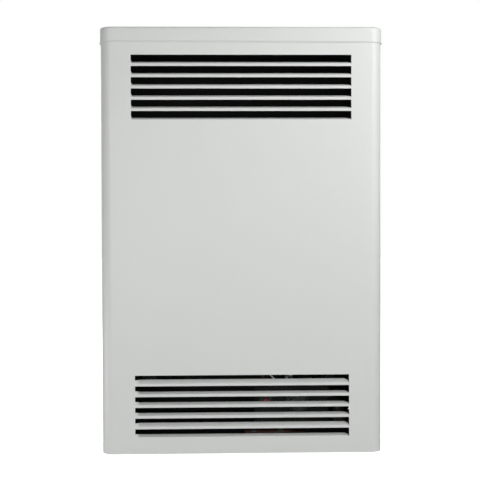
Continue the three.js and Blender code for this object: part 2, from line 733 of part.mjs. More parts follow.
// ---- Heat exchanger: two ribbed half shells seamed together, on four stays ---------------------------

// Half shells are stacked from the seam outwards, in (x, height from the exchanger's middle).
function shellOutline(inset, steps = 4) {
  return roundedRectangle(
    exchangerWidth - 2 * inset, exchangerHeight - 2 * inset, exchanger.cornerRadius - inset / 2, steps);
}

function halfShell(ribBase, ribEnd) {
  const sheet = exchanger.sheet;
  const pillow = (draw, inset, start) => stack([
    { outline: shellOutline(inset), height: start },
    { outline: shellOutline(inset + draw * exchanger.shoulderInset), height: draw * exchanger.shoulder },
    { outline: shellOutline(inset + draw * exchanger.knuckleInset), height: draw * exchanger.knuckle },
    { outline: shellOutline(inset + draw * exchanger.faceInset), height: draw },
  ]);
  const ribLength = ribEnd - ribBase;
  const ribMiddle = (ribEnd + ribBase) / 2 - exchangerCentre;
  const ribs = (wall, draw) => Array.from({ length: rib.count }, (_, i) => {
    const middle = flat((i - (rib.count - 1) / 2) * rib.pitch, ribMiddle);
    const outline = (width, length) => roundedRectangle(width, length, width / 2 - 0.5, 2, middle);
    return stack([
      { outline: outline(rib.baseWidth - 2 * wall, ribLength - 2 * wall), height: draw - rib.root },
      { outline: outline(rib.baseWidth - 2 * wall, ribLength - 2 * wall), height: draw },
      { outline: outline(rib.crestWidth, ribLength - 2 * rib.height), height: draw + rib.height },
    ]);
  });
  const flange = exchanger.seamFlange;
  const seam = new THREE.Shape(shellOutline(-flange));
  seam.holes.push(new THREE.Path(shellOutline(sheet).reverse()));
  const outside = unite(pillow(shellDraw, 0, 0), ...ribs(0, shellDraw));
  const inside = unite(pillow(shellDraw - sheet, sheet, -1), ...ribs(sheet, shellDraw - sheet));
  return unite(cut(outside, inside), alongZ(seam, 0, sheet));
}

function frontShell() {
  const shell = halfShell(ribBottom, ribTop)
    .applyMatrix4(new THREE.Matrix4().makeBasis(point(1, 0, 0), point(0, 0, 1), point(0, -1, 0)))
    .translate(0, seamY - fitGap / 2, exchangerCentre);
  const opening = roundedRectangle(door.width, door.height, door.openingRadius, 2, flat(0, doorZ));
  return cut(shell, alongY(new THREE.Shape(opening), shellFaceFront - 20, shellFaceFront + 12));
}

function rearShell() {
  const neckTop = doorZ + airDuct.neckHeight / 2;
  const shell = halfShell(neckTop + rib.aboveDoor, ventZ - vent.flueRadius - rib.aboveDoor - rib.height)
    .applyMatrix4(new THREE.Matrix4().makeBasis(point(-1, 0, 0), point(0, 0, 1), point(0, 1, 0)))
    .translate(0, seamY + fitGap / 2, exchangerCentre);
  const flueHole = rod(
    point(0, shellFaceRear - 14, ventZ), point(0, shellFaceRear + 20, ventZ), vent.flueRadius + fitGap, 32);
  const inset = airDuct.sheet;
  const inletOutline = roundedRectangle(
    airDuct.neckWidth - 2 * inset, airDuct.neckHeight - 2 * inset, airDuct.neckCorner, 2, flat(0, doorZ));
  const airInlet = alongY(new THREE.Shape(inletOutline), shellFaceRear - 14, shellFaceRear + 5);
  return cut(shell, flueHole, airInlet);
}

add('exchanger_front_shell', 'blackEnamel', frontShell());
add('exchanger_rear_shell', 'blackEnamel', rearShell());

// A stay: its foot on the back panel, its leg beside the shells and its lip behind their seam flange.
function exchangerStay(side, bottom) {
  const footY = panelFront - fitGap - stay.sheet / 2;
  const lipY = seamY + fitGap / 2 + exchanger.sheet + fitGap + stay.sheet / 2;
  const legX = exchangerWidth / 2 + exchanger.seamFlange / 2 - 1;
  const profile = [
    flat(side * (legX - stay.foot), footY), flat(side * legX, footY),
    flat(side * legX, lipY), flat(side * (legX + stay.lip), lipY),
  ];
  return alongZ(sheetShape(profile, stay.sheet, 2, 2), bottom, bottom + stay.height);
}

const lowerStay = exchangerBottom + stay.fromEnd;
const upperStay = exchangerTop - stay.fromEnd - stay.height;
add('exchanger_stay_lower_left', 'galvanised', exchangerStay(-1, lowerStay));
add('exchanger_stay_lower_right', 'galvanised', exchangerStay(1, lowerStay));
add('exchanger_stay_upper_left', 'galvanised', exchangerStay(-1, upperStay));
add('exchanger_stay_upper_right', 'galvanised', exchangerStay(1, upperStay));

// ---- Concentric vent: air collar in the panel, flue collar in the rear shell, air box and duct --------

function airCollar() {
  const outer = vent.airRadius;
  const inner = outer - vent.sheet;
  const start = point(0, panelFront - fitGap - vent.sheet, ventZ);
  const length = vent.throughWall - start.y;
  return turned([
    [inner, 0], [outer + vent.flange, 0], [outer + vent.flange, vent.sheet],
    [outer, vent.sheet], [outer, length], [inner, length], [inner, 0],
  ], start, point(0, 1, 0), 40);
}

function flueCollar() {
  const outer = vent.flueRadius;
  const inner = outer - vent.sheet;
  const start = point(0, shellFaceRear - vent.flueInside, ventZ);
  const flangeAt = vent.flueInside + 2 * fitGap + vent.gasket;
  const length = vent.throughWall + vent.flueLead - start.y;
  return turned([
    [inner, 0], [outer, 0], [outer, flangeAt], [outer + vent.flueFlange, flangeAt],
    [outer + vent.flueFlange, flangeAt + vent.sheet], [outer, flangeAt + vent.sheet],
    [outer, length], [inner, length], [inner, 0],
  ], start, point(0, 1, 0), 32);
}

const flueGasket = () => ring(
  vent.flueRadius + fitGap, vent.flueRadius + vent.flueFlange - 1, fitGap, fitGap + vent.gasket,
  point(0, shellFaceRear, ventZ), point(0, 1, 0));

// Pans drawn in (x, z) and stacked from the panel towards the front.
const facingFront = new THREE.Matrix4().makeBasis(point(1, 0, 0), point(0, 0, 1), point(0, -1, 0));

function airBoxPan() {
  const outline = (inset) => roundedRectangle(
    airBoxWidth - 2 * inset, airBoxWidth - 2 * inset, airBox.cornerRadius - inset, 4);
  const outside = stack([
    { outline: outline(0), height: 0 }, { outline: outline(0), height: airBox.depth - airBox.shoulder },
    { outline: outline(airBox.frontRadius), height: airBox.depth },
  ]);
  const inside = stack([
    { outline: outline(airBox.sheet), height: -5 },
    { outline: outline(airBox.sheet), height: airBox.depth - airBox.shoulder - 0.4 * airBox.sheet },
    { outline: outline(airBox.frontRadius + airBox.sheet), height: airBox.depth - airBox.sheet },
  ]);
  const flange = new THREE.Shape(outline(-airBox.flange));
  flange.holes.push(new THREE.Path(outline(airBox.sheet / 2).reverse()));
  const flueHole = rod(
    point(0, 0, airBox.depth - 10), point(0, 0, airBox.depth + 10), vent.flueRadius + fitGap, 32);
  const toDuct = block(
    [-airDuct.width / 2 + airDuct.sheet, airDuct.width / 2 - airDuct.sheet],
    [-airBoxWidth / 2 - 5, -airBoxWidth / 2 + 5],
    [airDuct.sheet, airDuct.depth - airDuct.sheet],
  );
  return cut(unite(cut(outside, inside), alongZ(flange, 0, airBox.sheet)), flueHole, toDuct)
    .applyMatrix4(facingFront)
    .translate(0, panelFront - fitGap, ventZ);
}

// The duct that brings outside air down from the air box and forward into the rear shell.
function airDuctTube() {
  const rear = panelFront - fitGap;
  const front = rear - airDuct.depth;
  const top = ventZ - airBoxWidth / 2 - airBox.flange - fitGap;
  const neckHalf = airDuct.neckHeight / 2;
  const bottom = doorZ - neckHalf - airDuct.belowNeck;
  const tube = (inset, topRun, frontRun) => unite(
    block([-airDuct.width / 2 + inset, airDuct.width / 2 - inset], [front + inset, rear - inset],
      [bottom + inset, top + topRun]),
    block([-airDuct.neckWidth / 2 + inset, airDuct.neckWidth / 2 - inset],
      [shellFaceRear + fitGap - frontRun, front + 2 * airDuct.sheet],
      [doorZ - neckHalf + inset, doorZ + neckHalf - inset]),
  );
  return cut(tube(0, 0, 0), tube(airDuct.sheet, 5, 5));
}

add('air_collar', 'galvanised', airCollar());
add('flue_collar', 'galvanised', flueCollar());
add('flue_gasket', 'fibre', flueGasket());
add('air_box', 'galvanised', airBoxPan());
add('air_duct', 'galvanised', airDuctTube());

// ---- Burner behind its gasketed door with the sight glass -------------------------------------------

const toFront = point(0, -1, 0);
const toWall = point(0, 1, 0);
const bossRear = doorRear - door.emboss;
const bossFront = doorFront - door.emboss;
const shelfZ = doorZ - pilot.shelfBelow; // middle of the pilot bracket's shelf
const onShelf = (radius) => shelfZ + pilot.sheet / 2 + fitGap + radius;
const pilotZ = onShelf(lines.pilotTube);
const sensorZ = onShelf(lines.thermocouple);
const electrodeZ = onShelf(pilot.ceramic);

function doorGasket() {
  const gasketOutline = (border, radius) => roundedRectangle(
    door.width + 2 * border, door.height + 2 * border, radius, 3, flat(0, doorZ));
  const shape = new THREE.Shape(gasketOutline(door.gasketBorder, door.cornerRadius - 2));
  const opening = gasketOutline(door.gasketInset, door.openingRadius + 1);
  shape.holes.push(new THREE.Path(opening.reverse()));
  return alongY(shape, doorRear + fitGap, doorRear + fitGap + door.gasket);
}

function burnerDoor() {
  const outline = (width, height, radius) => roundedRectangle(width, height, radius, 3);
  const plate = outline(door.width + 2 * door.border, door.height + 2 * door.border, door.cornerRadius);
  const bossWidth = door.width - 2 * doorBoss.endClearance;
  const bossHeight = door.height - 2 * doorBoss.sideClearance;
  const boss = (inset, height) => ({
    outline: outline(bossWidth - 2 * inset, bossHeight - 2 * inset, doorBoss.cornerRadius), height });
  const raised = unite(
    stack([{ outline: plate, height: 0 }, { outline: plate, height: door.sheet }]),
    stack([boss(0, joinOverlap), boss(0, door.sheet), boss(doorBoss.taper, door.sheet + door.emboss)]),
  );
  const pressed = cut(raised, stack([
    boss(door.sheet, -1), boss(door.sheet, 0), boss(doorBoss.taper + door.sheet, door.emboss),
  ]));
  const body = pressed.applyMatrix4(facingFront).translate(0, doorRear, doorZ);
  const hole = (x, z, radius) => rod(point(x, bossFront - 5, z), point(x, doorRear + 5, z), radius);
  return cut(
    body,
    hole(sight.x, doorZ, sight.holeRadius),
    hole(orifice.x, doorZ, orifice.radius),
    hole(pilot.tubeX, pilotZ, lines.pilotTube + lines.throughDoor),
    hole(pilot.thermocoupleX, sensorZ, lines.thermocouple + lines.throughDoor),
    hole(pilot.electrodeX, electrodeZ, pilot.ceramic + lines.throughDoor),
  );
}

const sightGlass = () => turned(
  [[0, 0], [sight.glassRadius, 0], [sight.glassRadius, sight.glass], [0, sight.glass]],
  point(sight.x, bossFront - fitGap, doorZ), toFront, 24);

function sightBezel() {
  const seat = sight.glassRadius + fitGap;
  const outer = seat + sight.bezelWidth;
  const lip = sight.glass + fitGap;
  return turned([
    [seat, 0], [outer, 0], [outer, sight.bezelHeight - 1], [outer - sight.bevel, sight.bezelHeight],
    [sight.radius, sight.bezelHeight], [sight.radius, lip], [seat, lip], [seat, 0],
  ], point(sight.x, bossFront - fitGap, doorZ), toFront, 24);
}

// A ported tube with a closed end, whose mixing end bends forward to the orifice.
function burnerTube() {
  const route = (trim, run) => [
    point(-burner.length / 2 + trim, burnerY, doorZ),
    point(orifice.x, burnerY, doorZ),
    point(orifice.x, doorRear + burner.mouthGap - run, doorZ),
  ];
  const outside = pipe(route(0, 0), burner.radius, burner.bend, 12, 4);
  const inside = pipe(route(burner.wall, 5), burner.radius - burner.wall, burner.bend, 12, 4);
  const portRun = burner.length / 2 + orifice.x - 2 * burner.bend - burner.portFromEnd;
  const halfPort = burner.portDepth / 2;
  const ports = Array.from({ length: burner.portCount }, (_, i) => {
    const x = -burner.length / 2 + burner.portFromEnd + (i * portRun) / (burner.portCount - 1);
    return block([x, x + burner.portWidth], [burnerY - halfPort, burnerY + halfPort],
      [doorZ + burner.radius * 0.6, doorZ + burner.radius + 3]);
  });
  return cut(outside, inside, ...ports);
}

function burnerBracket() {
  const flangeY = bossRear + fitGap + stay.sheet / 2;
  const shelf = doorZ - burner.radius - fitGap - stay.sheet / 2;
  const profile = [flat(flangeY, shelf - 8), flat(flangeY, shelf), flat(burnerY + 8, shelf)];
  const start = sight.x + burner.bracketFrom;
  return alongX(sheetShape(profile, stay.sheet, 2, 2), start, start + burner.bracketWidth);
}

function orificeElbow() {
  const { x } = orifice;
  const hexRear = bossFront - fitGap;
  const cornerY = hexRear - orifice.hexDepth - orifice.radius;
  const hex = alongY(hexShape(orifice.hexAcross), hexRear - orifice.hexDepth, hexRear).translate(x, 0, doorZ);
  const shank = turned([
    [0, 0], [orifice.radius - fitGap, 0], [orifice.radius - fitGap, door.emboss + 6], [4, door.emboss + 9],
    [4, orifice.length], [0, orifice.length],
  ], point(x, hexRear - joinOverlap, doorZ), toWall, 16);
  const arm = pipe(
    [point(x, hexRear - 1, doorZ), point(x, cornerY, doorZ), point(x, cornerY, orificeBottom())],
    orifice.radius, orifice.radius + 1, 16, 4);
  return unite(hex, shank, arm);
}

function orificeBottom() {
  return doorZ - orifice.radius - orifice.drop;
}

add('door_gasket', 'fibre', doorGasket());
add('burner_door', 'blackEnamel', burnerDoor());
add('sight_glass', 'glass', sightGlass());
add('sight_bezel', 'castAluminium', sightBezel());
add('burner_tube', 'galvanised', burnerTube());
add('burner_bracket', 'galvanised', burnerBracket());
add('orifice_elbow', 'brass', orificeElbow());

// ---- Controls: plate, gas valve, knob on its stem, piezo igniter and the gas pipes -------------------

const valveTop = valveZ + valve.height / 2;
const valveBottom = valveZ - valve.height / 2;
const bonnetFront = plateFront - valve.bonnetProud;
const knobRear = plateFront - knob.standOff;
const stemFront = knobRear - stem.engage;
const piezoX = valveX + piezo.x;
const inletZ = valveZ - valve.inletBelow;

function controlPlate() {
  const footZ = basePanTop + fitGap + control.plateSheet / 2;
  const profile = [
    flat(plateY + control.foot, footZ), flat(plateY, footZ), flat(plateY, footZ + control.height),
  ];
  const sheet = alongX(sheetShape(profile, control.plateSheet, 2.5, 3),
    piezoX - control.pastPiezo, valveX + control.pastKnob);
  const hole = (x, z, radius, sides) =>
    rod(point(x, plateFront - 5, z), point(x, plateRear + 5, z), radius, sides);
  return cut(
    sheet,
    hole(valveX, valveZ, valve.bonnetRadius + fitGap, 24),
    hole(piezoX, valveZ, piezo.radius + fitGap, 24),
    hole(valveX + bulb.entry, bulbZ(), bulb.capillary + 1.2, 16),
  );
}

// The cast valve body: a chamfered block with the knob's bonnet, a regulator tower, an inlet boss and
// an outlet boss. The stem runs in a bore through the bonnet.
function valveBody() {
  const outline = (inset) => roundedRectangle(valve.width - 2 * inset, valve.height - 2 * inset, 8, 3);
  const casting = stack([
    { outline: outline(3), height: 0 }, { outline: outline(0), height: 4 },
    { outline: outline(0), height: valve.depth - 6 }, { outline: outline(3), height: valve.depth },
  ]).applyMatrix4(facingFront).translate(valveX, valveFront + valve.depth, valveZ);
  const bonnet = rod(point(valveX, valveFront + 2, valveZ), point(valveX, bonnetFront, valveZ),
    valve.bonnetRadius, 24);
  const inset = joinOverlap;
  const tower = rod(point(valveX + valve.towerX, valveY, valveTop - inset),
    point(valveX + valve.towerX, valveY, valveTop + valve.towerHeight), valve.towerRadius, 24);
  const sideX = valveX + valve.width / 2;
  const inlet = alongX(hexShape(valve.inletAcross), sideX - inset, sideX + valve.inletLength)
    .translate(0, valveY, inletZ);
  const outlet = alongZ(hexShape(valve.outletAcross), valveTop - inset, valveTop + valve.outletHeight)
    .translate(orifice.x, valveY, 0);
  const bore = rod(point(valveX, bonnetFront - 2, valveZ),
    point(valveX, bonnetFront + stem.inside + 2, valveZ), stem.radius + stem.clearance, 24);
  return cut(unite(casting, bonnet, tower, inlet, outlet), bore);
}

// A round shaft with a flat along one side, drawn in (x, z).
function flattedShape(radius, flatAt, sides = 20) {
  const edge = Math.acos(flatAt / radius);
  const points = Array.from({ length: sides + 1 }, (_, i) => {
    const angle = Math.PI / 2 + edge + ((2 * Math.PI - 2 * edge) * i) / sides;
    return flat(radius * Math.cos(angle), radius * Math.sin(angle));
  });
  return new THREE.Shape(points);
}

const valveStem = () => alongY(flattedShape(stem.radius, stem.flat), stemFront, bonnetFront + stem.inside)
  .translate(valveX, 0, valveZ);

// The knob: a skirted dial with finger grips, a raised pointer bar and a blind flatted bore.
function gasKnob() {
  const dial = turned([
    [0, 0], [knob.radius, 0], [knob.radius, knob.skirt - 1], [knob.radius - 1, knob.skirt],
    [knob.radius - knob.waist + 1, knob.skirt + 1], [knob.radius - knob.waist, knob.depth - 1.5],
    [knob.radius - knob.crown, knob.depth], [0, knob.depth],
  ], point(0, 0, 0), point(0, 0, 1), 28);
  const gripRing = knob.radius - knob.gripInset;
  const grips = Array.from({ length: knob.gripCount }, (_, i) => {
    const angle = (2 * Math.PI * (i + 0.5)) / knob.gripCount;
    const foot = point(gripRing * Math.cos(angle), gripRing * Math.sin(angle), knob.skirt);
    return rod(foot, foot.clone().setZ(knob.depth - 2), knob.gripRadius, 5);
  });
  const halfPointer = knob.pointerWidth / 2;
  const pointerEnd = knob.radius - knob.pointerInset;
  const pointer = block([-halfPointer, halfPointer], [-pointerEnd, pointerEnd],
    [knob.depth - 1, knob.depth + knob.pointerHeight]);
  const boreRun = 5; // the tool starts this far behind the knob
  const boreDepth = stem.engage + knob.travel + 0.5;
  const bore = extrude(
    flattedShape(stem.radius + stem.clearance, stem.flat + stem.clearance), boreDepth + boreRun,
  ).translate(0, 0, -boreRun);
  return cut(unite(dial, ...grips, pointer), bore)
    .applyMatrix4(facingFront)
    .translate(valveX, knobRear, valveZ);
}

const regulatorCap = () => turned([
  [0, 0], [valve.towerRadius - 1, 0], [valve.towerRadius - 1, 5], [valve.towerRadius - 2.5, 7],
  [0, 7],
], point(valveX + valve.towerX, valveY, valveTop + valve.towerHeight + fitGap), point(0, 0, 1), 24);

function piezoBody() {
  const front = plateFront - fitGap;
  const collar = turned([
    [0, 0], [piezo.collar, 0], [piezo.collar, piezo.collarHeight - 1],
    [piezo.collar - 1, piezo.collarHeight], [0, piezo.collarHeight],
  ], point(piezoX, front, valveZ), toFront, 24);
  const barrelEnd = plateRear + piezo.length;
  const barrel = rod(point(piezoX, front - 1, valveZ), point(piezoX, barrelEnd, valveZ), piezo.radius, 24);
  const terminal = rod(point(piezoX, barrelEnd - 1, valveZ),
    point(piezoX, barrelEnd + piezo.terminalLength, valveZ), piezo.terminal, 12);
  const bore = rod(point(piezoX, front - 5, valveZ), point(piezoX, plateRear + piezo.bore, valveZ),
    piezo.button + fitGap, 24);
  return cut(unite(collar, barrel, terminal), bore);
}

function piezoNut() {
  const shape = hexShape(piezo.nutAcross);
  shape.holes.push(new THREE.Path(ringPoints(piezo.radius + fitGap, 24).reverse()));
  return alongY(shape, plateRear + fitGap, plateRear + fitGap + piezo.nutDepth).translate(piezoX, 0, valveZ);
}

const piezoButton = () => turned([
  [0, 0], [piezo.button, 0], [piezo.button, piezo.buttonLength - 1.5],
  [piezo.button - 1.2, piezo.buttonLength - 0.3], [piezo.button - 3, piezo.buttonLength],
  [0, piezo.buttonLength - 0.4],
], point(piezoX, plateFront + piezo.buttonInside, valveZ), toFront, 24);

function supplyPipe() {
  const start = valveX + valve.width / 2 + valve.inletLength + fitGap;
  const route = (lead, run) => [
    point(start - lead, pipeY, inletZ), point(pipeX, pipeY, inletZ), point(pipeX, pipeY, gasPipe.end - run),
  ];
  return cut(
    pipe(route(0, 0), gasPipe.radius, gasPipe.bend, 16, 4),
    pipe(route(3, 3), gasPipe.bore, gasPipe.bend, 16, 4),
  );
}

function unionNut() {
  const shape = hexShape(gasPipe.nutAcross);
  shape.holes.push(new THREE.Path(ringPoints(gasPipe.radius + fitGap, 24).reverse()));
  const bottom = basePanTop + gasPipe.nutAbove;
  return alongZ(shape, bottom, bottom + gasPipe.nutLength).translate(pipeX, pipeY, 0);
}

const elbowY = bossFront - fitGap - orifice.hexDepth - orifice.radius;
const outletTop = valveTop + valve.outletHeight;

const manifold = () => pipe([
  point(orifice.x, valveY, outletTop + fitGap),
  point(orifice.x, valveY, outletTop + manifoldPipe.rise),
  point(orifice.x, elbowY, outletTop + manifoldPipe.rise),
  point(orifice.x, elbowY, orificeBottom() - fitGap),
], manifoldPipe.radius, manifoldPipe.bend, 12, 4);

add('control_plate', 'blackEnamel', controlPlate());
add('gas_valve_body', 'castAluminium', valveBody());
add('regulator_cap', 'blackPlastic', regulatorCap());
add('valve_stem', 'brass', valveStem());
add('gas_knob', 'blackPlastic', gasKnob());
add('piezo_body', 'blackPlastic', piezoBody());
add('piezo_nut', 'blackPlastic', piezoNut());
add('piezo_button', 'redPlastic', piezoButton());
add('gas_supply_pipe', 'blackPipe', supplyPipe());
add('union_nut', 'blackPipe', unionNut());
add('manifold_pipe', 'aluminiumTube', manifold());

// ---- Pilot, flame sensor, spark electrode and room thermostat ----------------------------------------

function pilotBracket() {
  const flangeY = bossRear + fitGap + pilot.sheet / 2;
  const profile = [flat(flangeY, shelfZ - 8), flat(flangeY, shelfZ), flat(doorRear + pilot.reach, shelfZ)];
  return alongX(sheetShape(profile, pilot.sheet, 1.5, 2), pilot.thermocoupleX - 9, pilot.electrodeX + 9);
}

const pilotTip = point(pilot.tubeX, doorRear + pilot.tubeTip, pilotZ);

const pilotTubeRoute = () => pipe([
  point(pilot.valveX + valveX, valveY, valveTop + fitGap),
  point(pilot.valveX + valveX, valveY, valveTop + pilot.rise),
  point(pilot.valveX + valveX, elbowY, valveTop + pilot.rise),
  point(pilot.tubeX, elbowY, pilotZ - 50),
  point(pilot.tubeX, elbowY, pilotZ),
  pilotTip.clone(),
], lines.pilotTube, lines.bend, 6, 3);

// The pilot hood: a cup over the tube's end with its mouth towards the burner.
function pilotHood() {
  const { radius, mouth, behindTip, aheadOfTip } = hood;
  const seat = lines.pilotTube + fitGap;
  return turned([
    [seat, -behindTip], [radius, -behindTip], [radius, aheadOfTip], [mouth, aheadOfTip], [mouth, 1],
    [seat, 1], [seat, -behindTip],
  ], pilotTip, toWall, 16);
}

const sensorLineX = valveX - valve.width / 2 - pilot.lineBeside;
const thermocouple = () => pipe([
  point(valveX - valve.width / 2 - fitGap, valveY, valveZ + pilot.sensorAbove),
  point(sensorLineX, valveY, valveZ + pilot.sensorAbove),
  point(sensorLineX, valveY, valveTop + pilot.sensorRise),
  point(sensorLineX, elbowY - pilot.lineSpacing, valveTop + pilot.sensorRise),
  point(pilot.thermocoupleX, elbowY - pilot.lineSpacing, sensorZ - 40),
  point(pilot.thermocoupleX, elbowY - pilot.lineSpacing, sensorZ),
  point(pilot.thermocoupleX, doorRear + pilot.sensorTip, sensorZ),
], lines.thermocouple, lines.bend, 6, 3);

const electrodeFront = bossFront - pilot.ceramicProud;
const sparkElectrode = () => turned([
  [0, 0], [pilot.ceramic - 1, 0], [pilot.ceramic - 1, 3], [pilot.ceramic, 4],
  [pilot.ceramic, pilot.ceramicLength], [0.8, pilot.ceramicLength + 1], [0.8, pilot.ceramicLength + 11],
  [0, pilot.ceramicLength + 11],
], point(pilot.electrodeX, electrodeFront, electrodeZ), toWall, 14);

const terminalEnd = plateRear + piezo.length + piezo.terminalLength;
const ignitionCable = () => pipe([
  point(piezoX, terminalEnd + fitGap, valveZ),
  point(piezoX, terminalEnd + piezo.cableLead, valveZ),
  point(piezoX, terminalEnd + piezo.cableLead, valveTop + pilot.cableRise),
  point(piezoX, elbowY - 2 * pilot.lineSpacing, valveTop + pilot.cableRise),
  point(pilot.electrodeX, elbowY - 2 * pilot.lineSpacing, electrodeZ - 30),
  point(pilot.electrodeX, elbowY - 2 * pilot.lineSpacing, electrodeZ),
  point(pilot.electrodeX, electrodeFront - fitGap, electrodeZ),
], lines.cable, lines.cableBend, 6, 3);

function bulbZ() {
  return basePanTop + bulb.height;
}

// The bulb lies in the cool air at the casing's foot; its capillary runs to the valve's underside.
function thermostatBulb() {
  const z = bulbZ();
  const end = point(bulb.start + bulb.length, bulbY, z);
  const barrel = turned([
    [0, 0], [bulb.radius - 1.5, 0], [bulb.radius, 1.5], [bulb.radius, bulb.length - 6],
    [bulb.capillary + 0.4, bulb.length], [0, bulb.length],
  ], point(bulb.start, bulbY, z), point(1, 0, 0), 16);
  const entryX = valveX + bulb.entry;
  const capillary = pipe([
    end.clone().add(point(-1, 0, 0)), point(entryX, bulbY, z), point(entryX, valveY, z),
    point(entryX, valveY, valveBottom - fitGap),
  ], bulb.capillary, 6, 6, 3);
  return unite(barrel, capillary);
}

function bulbClip(x) {
  const post = bulb.radius + fitGap + bulb.clipSheet / 2;
  const footZ = basePanTop + fitGap + bulb.clipSheet / 2;
  const z = bulbZ();
  const profile = [
    flat(bulbY - post - bulb.clipFoot, footZ), flat(bulbY - post, footZ), flat(bulbY - post, z + post),
    flat(bulbY + post, z + post), flat(bulbY + post, z + 1),
  ];
  return alongX(sheetShape(profile, bulb.clipSheet, [1, 3.5, 3.5], 3), x, x + bulb.clipWidth);
}

add('pilot_bracket', 'galvanised', pilotBracket());
add('pilot_tube', 'aluminiumTube', pilotTubeRoute());
add('pilot_hood', 'galvanised', pilotHood());
add('thermocouple', 'copper', thermocouple());
add('spark_electrode', 'ceramic', sparkElectrode());
add('ignition_cable', 'silicone', ignitionCable());
add('thermostat_bulb', 'copper', thermostatBulb());
add('bulb_clip_left', 'springSteel', bulbClip(bulb.start + bulb.leftClip));
add('bulb_clip_right', 'springSteel', bulbClip(bulb.start + bulb.rightClip));

fromBottomEdge.position.z = -casing.height / 2;

export default heater;
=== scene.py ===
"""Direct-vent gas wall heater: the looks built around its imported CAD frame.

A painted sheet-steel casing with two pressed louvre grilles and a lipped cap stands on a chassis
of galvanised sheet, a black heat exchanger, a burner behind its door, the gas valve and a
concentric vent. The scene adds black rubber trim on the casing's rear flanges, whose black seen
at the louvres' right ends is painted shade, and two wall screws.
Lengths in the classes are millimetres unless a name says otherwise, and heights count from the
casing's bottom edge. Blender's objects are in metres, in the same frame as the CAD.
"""

import json
import logging
import math
from dataclasses import dataclass
from enum import Enum
from typing import Iterable, Sequence

import bmesh
import bpy
from mathutils import Matrix, Vector


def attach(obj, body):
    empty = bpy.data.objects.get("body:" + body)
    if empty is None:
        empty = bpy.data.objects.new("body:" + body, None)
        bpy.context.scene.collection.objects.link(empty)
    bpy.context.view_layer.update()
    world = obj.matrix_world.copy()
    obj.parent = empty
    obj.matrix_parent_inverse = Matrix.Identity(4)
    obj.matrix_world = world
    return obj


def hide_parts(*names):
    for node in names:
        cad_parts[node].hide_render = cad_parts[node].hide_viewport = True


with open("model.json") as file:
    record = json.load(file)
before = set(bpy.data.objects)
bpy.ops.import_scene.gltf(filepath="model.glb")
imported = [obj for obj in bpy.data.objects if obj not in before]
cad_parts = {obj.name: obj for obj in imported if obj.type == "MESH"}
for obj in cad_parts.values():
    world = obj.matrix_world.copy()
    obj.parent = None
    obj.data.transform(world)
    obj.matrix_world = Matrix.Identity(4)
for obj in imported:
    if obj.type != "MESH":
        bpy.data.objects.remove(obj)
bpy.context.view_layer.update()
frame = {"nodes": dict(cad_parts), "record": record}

log = logging.getLogger("heater")
MM = 0.001
HEIGHT = 702.0  # the casing's height, whose middle is the frame's z = 0
SMOOTH_BELOW = 35.0  # edges that turn by fewer degrees are shaded smooth
SAME = 1e-7  # points closer than this are the same, in metres
SAME_MM = 1e-3  # the same for the flat sheet, in millimetres
CUT_MM = 1e-5  # a cut this close to a corner of the flat sheet goes through the corner
SMOOTHEST = 0.03  # no grained surface is less rough than this
MIX_SOCKETS = {"RGBA": (6, 7, 2), "FLOAT": (2, 3, 0)}  # a Mix node's two inputs and its result


# ---- Small tools ---------------------------------------------------------------------------------


class Side(Enum):
    """The heater's two sides, seen from the front, with the sign of their x."""

    LEFT = -1
    RIGHT = 1


def linear(hex_colour: str) -> tuple[float, float, float, float]:
    """Turns an sRGB hex colour into the linear colour that a shader takes.

    Args:
        hex_colour: Six hex digits, with or without a leading hash.

    Returns:
        Red, green, blue and an alpha of one.
    """
    digits = hex_colour.lstrip("#")
    levels = [int(digits[i:i + 2], 16) / 255 for i in (0, 2, 4)]
    red, green, blue = (v / 12.92 if v <= 0.04045 else ((v + 0.055) / 1.055) ** 2.4 for v in levels)
    return red, green, blue, 1.0


def add_node(tree: bpy.types.NodeTree, kind: str, settings: dict | None = None,
             inputs: dict | None = None) -> bpy.types.Node:
    """Adds a node, sets its options, and links or sets its inputs.

    Args:
        tree: The node tree that gets the node.
        kind: Blender's identifier of the node type.
        settings: Attribute names and values.
        inputs: Socket names or numbers, each with an output socket to link or a value to set.

    Returns:
        The new node.
    """
    node = tree.nodes.new(kind)
    for name, value in (settings or {}).items():
        setattr(node, name, value)
    for key, value in (inputs or {}).items():
        if isinstance(value, bpy.types.NodeSocket):
            tree.links.new(value, node.inputs[key])
        else:
            node.inputs[key].default_value = value
    return node


def add_noise(tree: bpy.types.NodeTree, where: bpy.types.NodeSocket, width: float,
              detail: float = 2.0) -> bpy.types.Node:
    """Adds a noise texture.

    Args:
        tree: The node tree that gets it.
        where: The coordinates' socket.
        width: How wide its patches are, in mm.
        detail: How many finer layers it has.

    Returns:
        The noise node.
    """
    return add_node(tree, "ShaderNodeTexNoise", None, {
        "Vector": where, "Scale": 1 / (width * MM), "Detail": detail})


def spread(tree: bpy.types.NodeTree, level: bpy.types.NodeSocket, target: tuple[float, float],
           source: tuple[float, float] = (0.0, 1.0)) -> bpy.types.NodeSocket:
    """Maps a level from one range to another.

    Args:
        tree: The node tree that gets the node.
        level: The level's socket.
        target: What the source range's two ends become.
        source: The range that is mapped.

    Returns:
        The mapped level's socket.
    """
    return add_node(tree, "ShaderNodeMapRange", None, {
        "Value": level, "From Min": source[0], "From Max": source[1],
        "To Min": target[0], "To Max": target[1]}).outputs["Result"]


def place(x: float, y: float, z: float) -> Vector:
    """Turns a point in millimetres into one in Blender's metres.

    Args:
        x: To the right of the middle.
        y: Behind the wall's plane, so negative in front of it.
        z: Above the casing's bottom edge.

    Returns:
        The point in metres.
    """
    return Vector((x * MM, y * MM, (z - HEIGHT / 2) * MM))


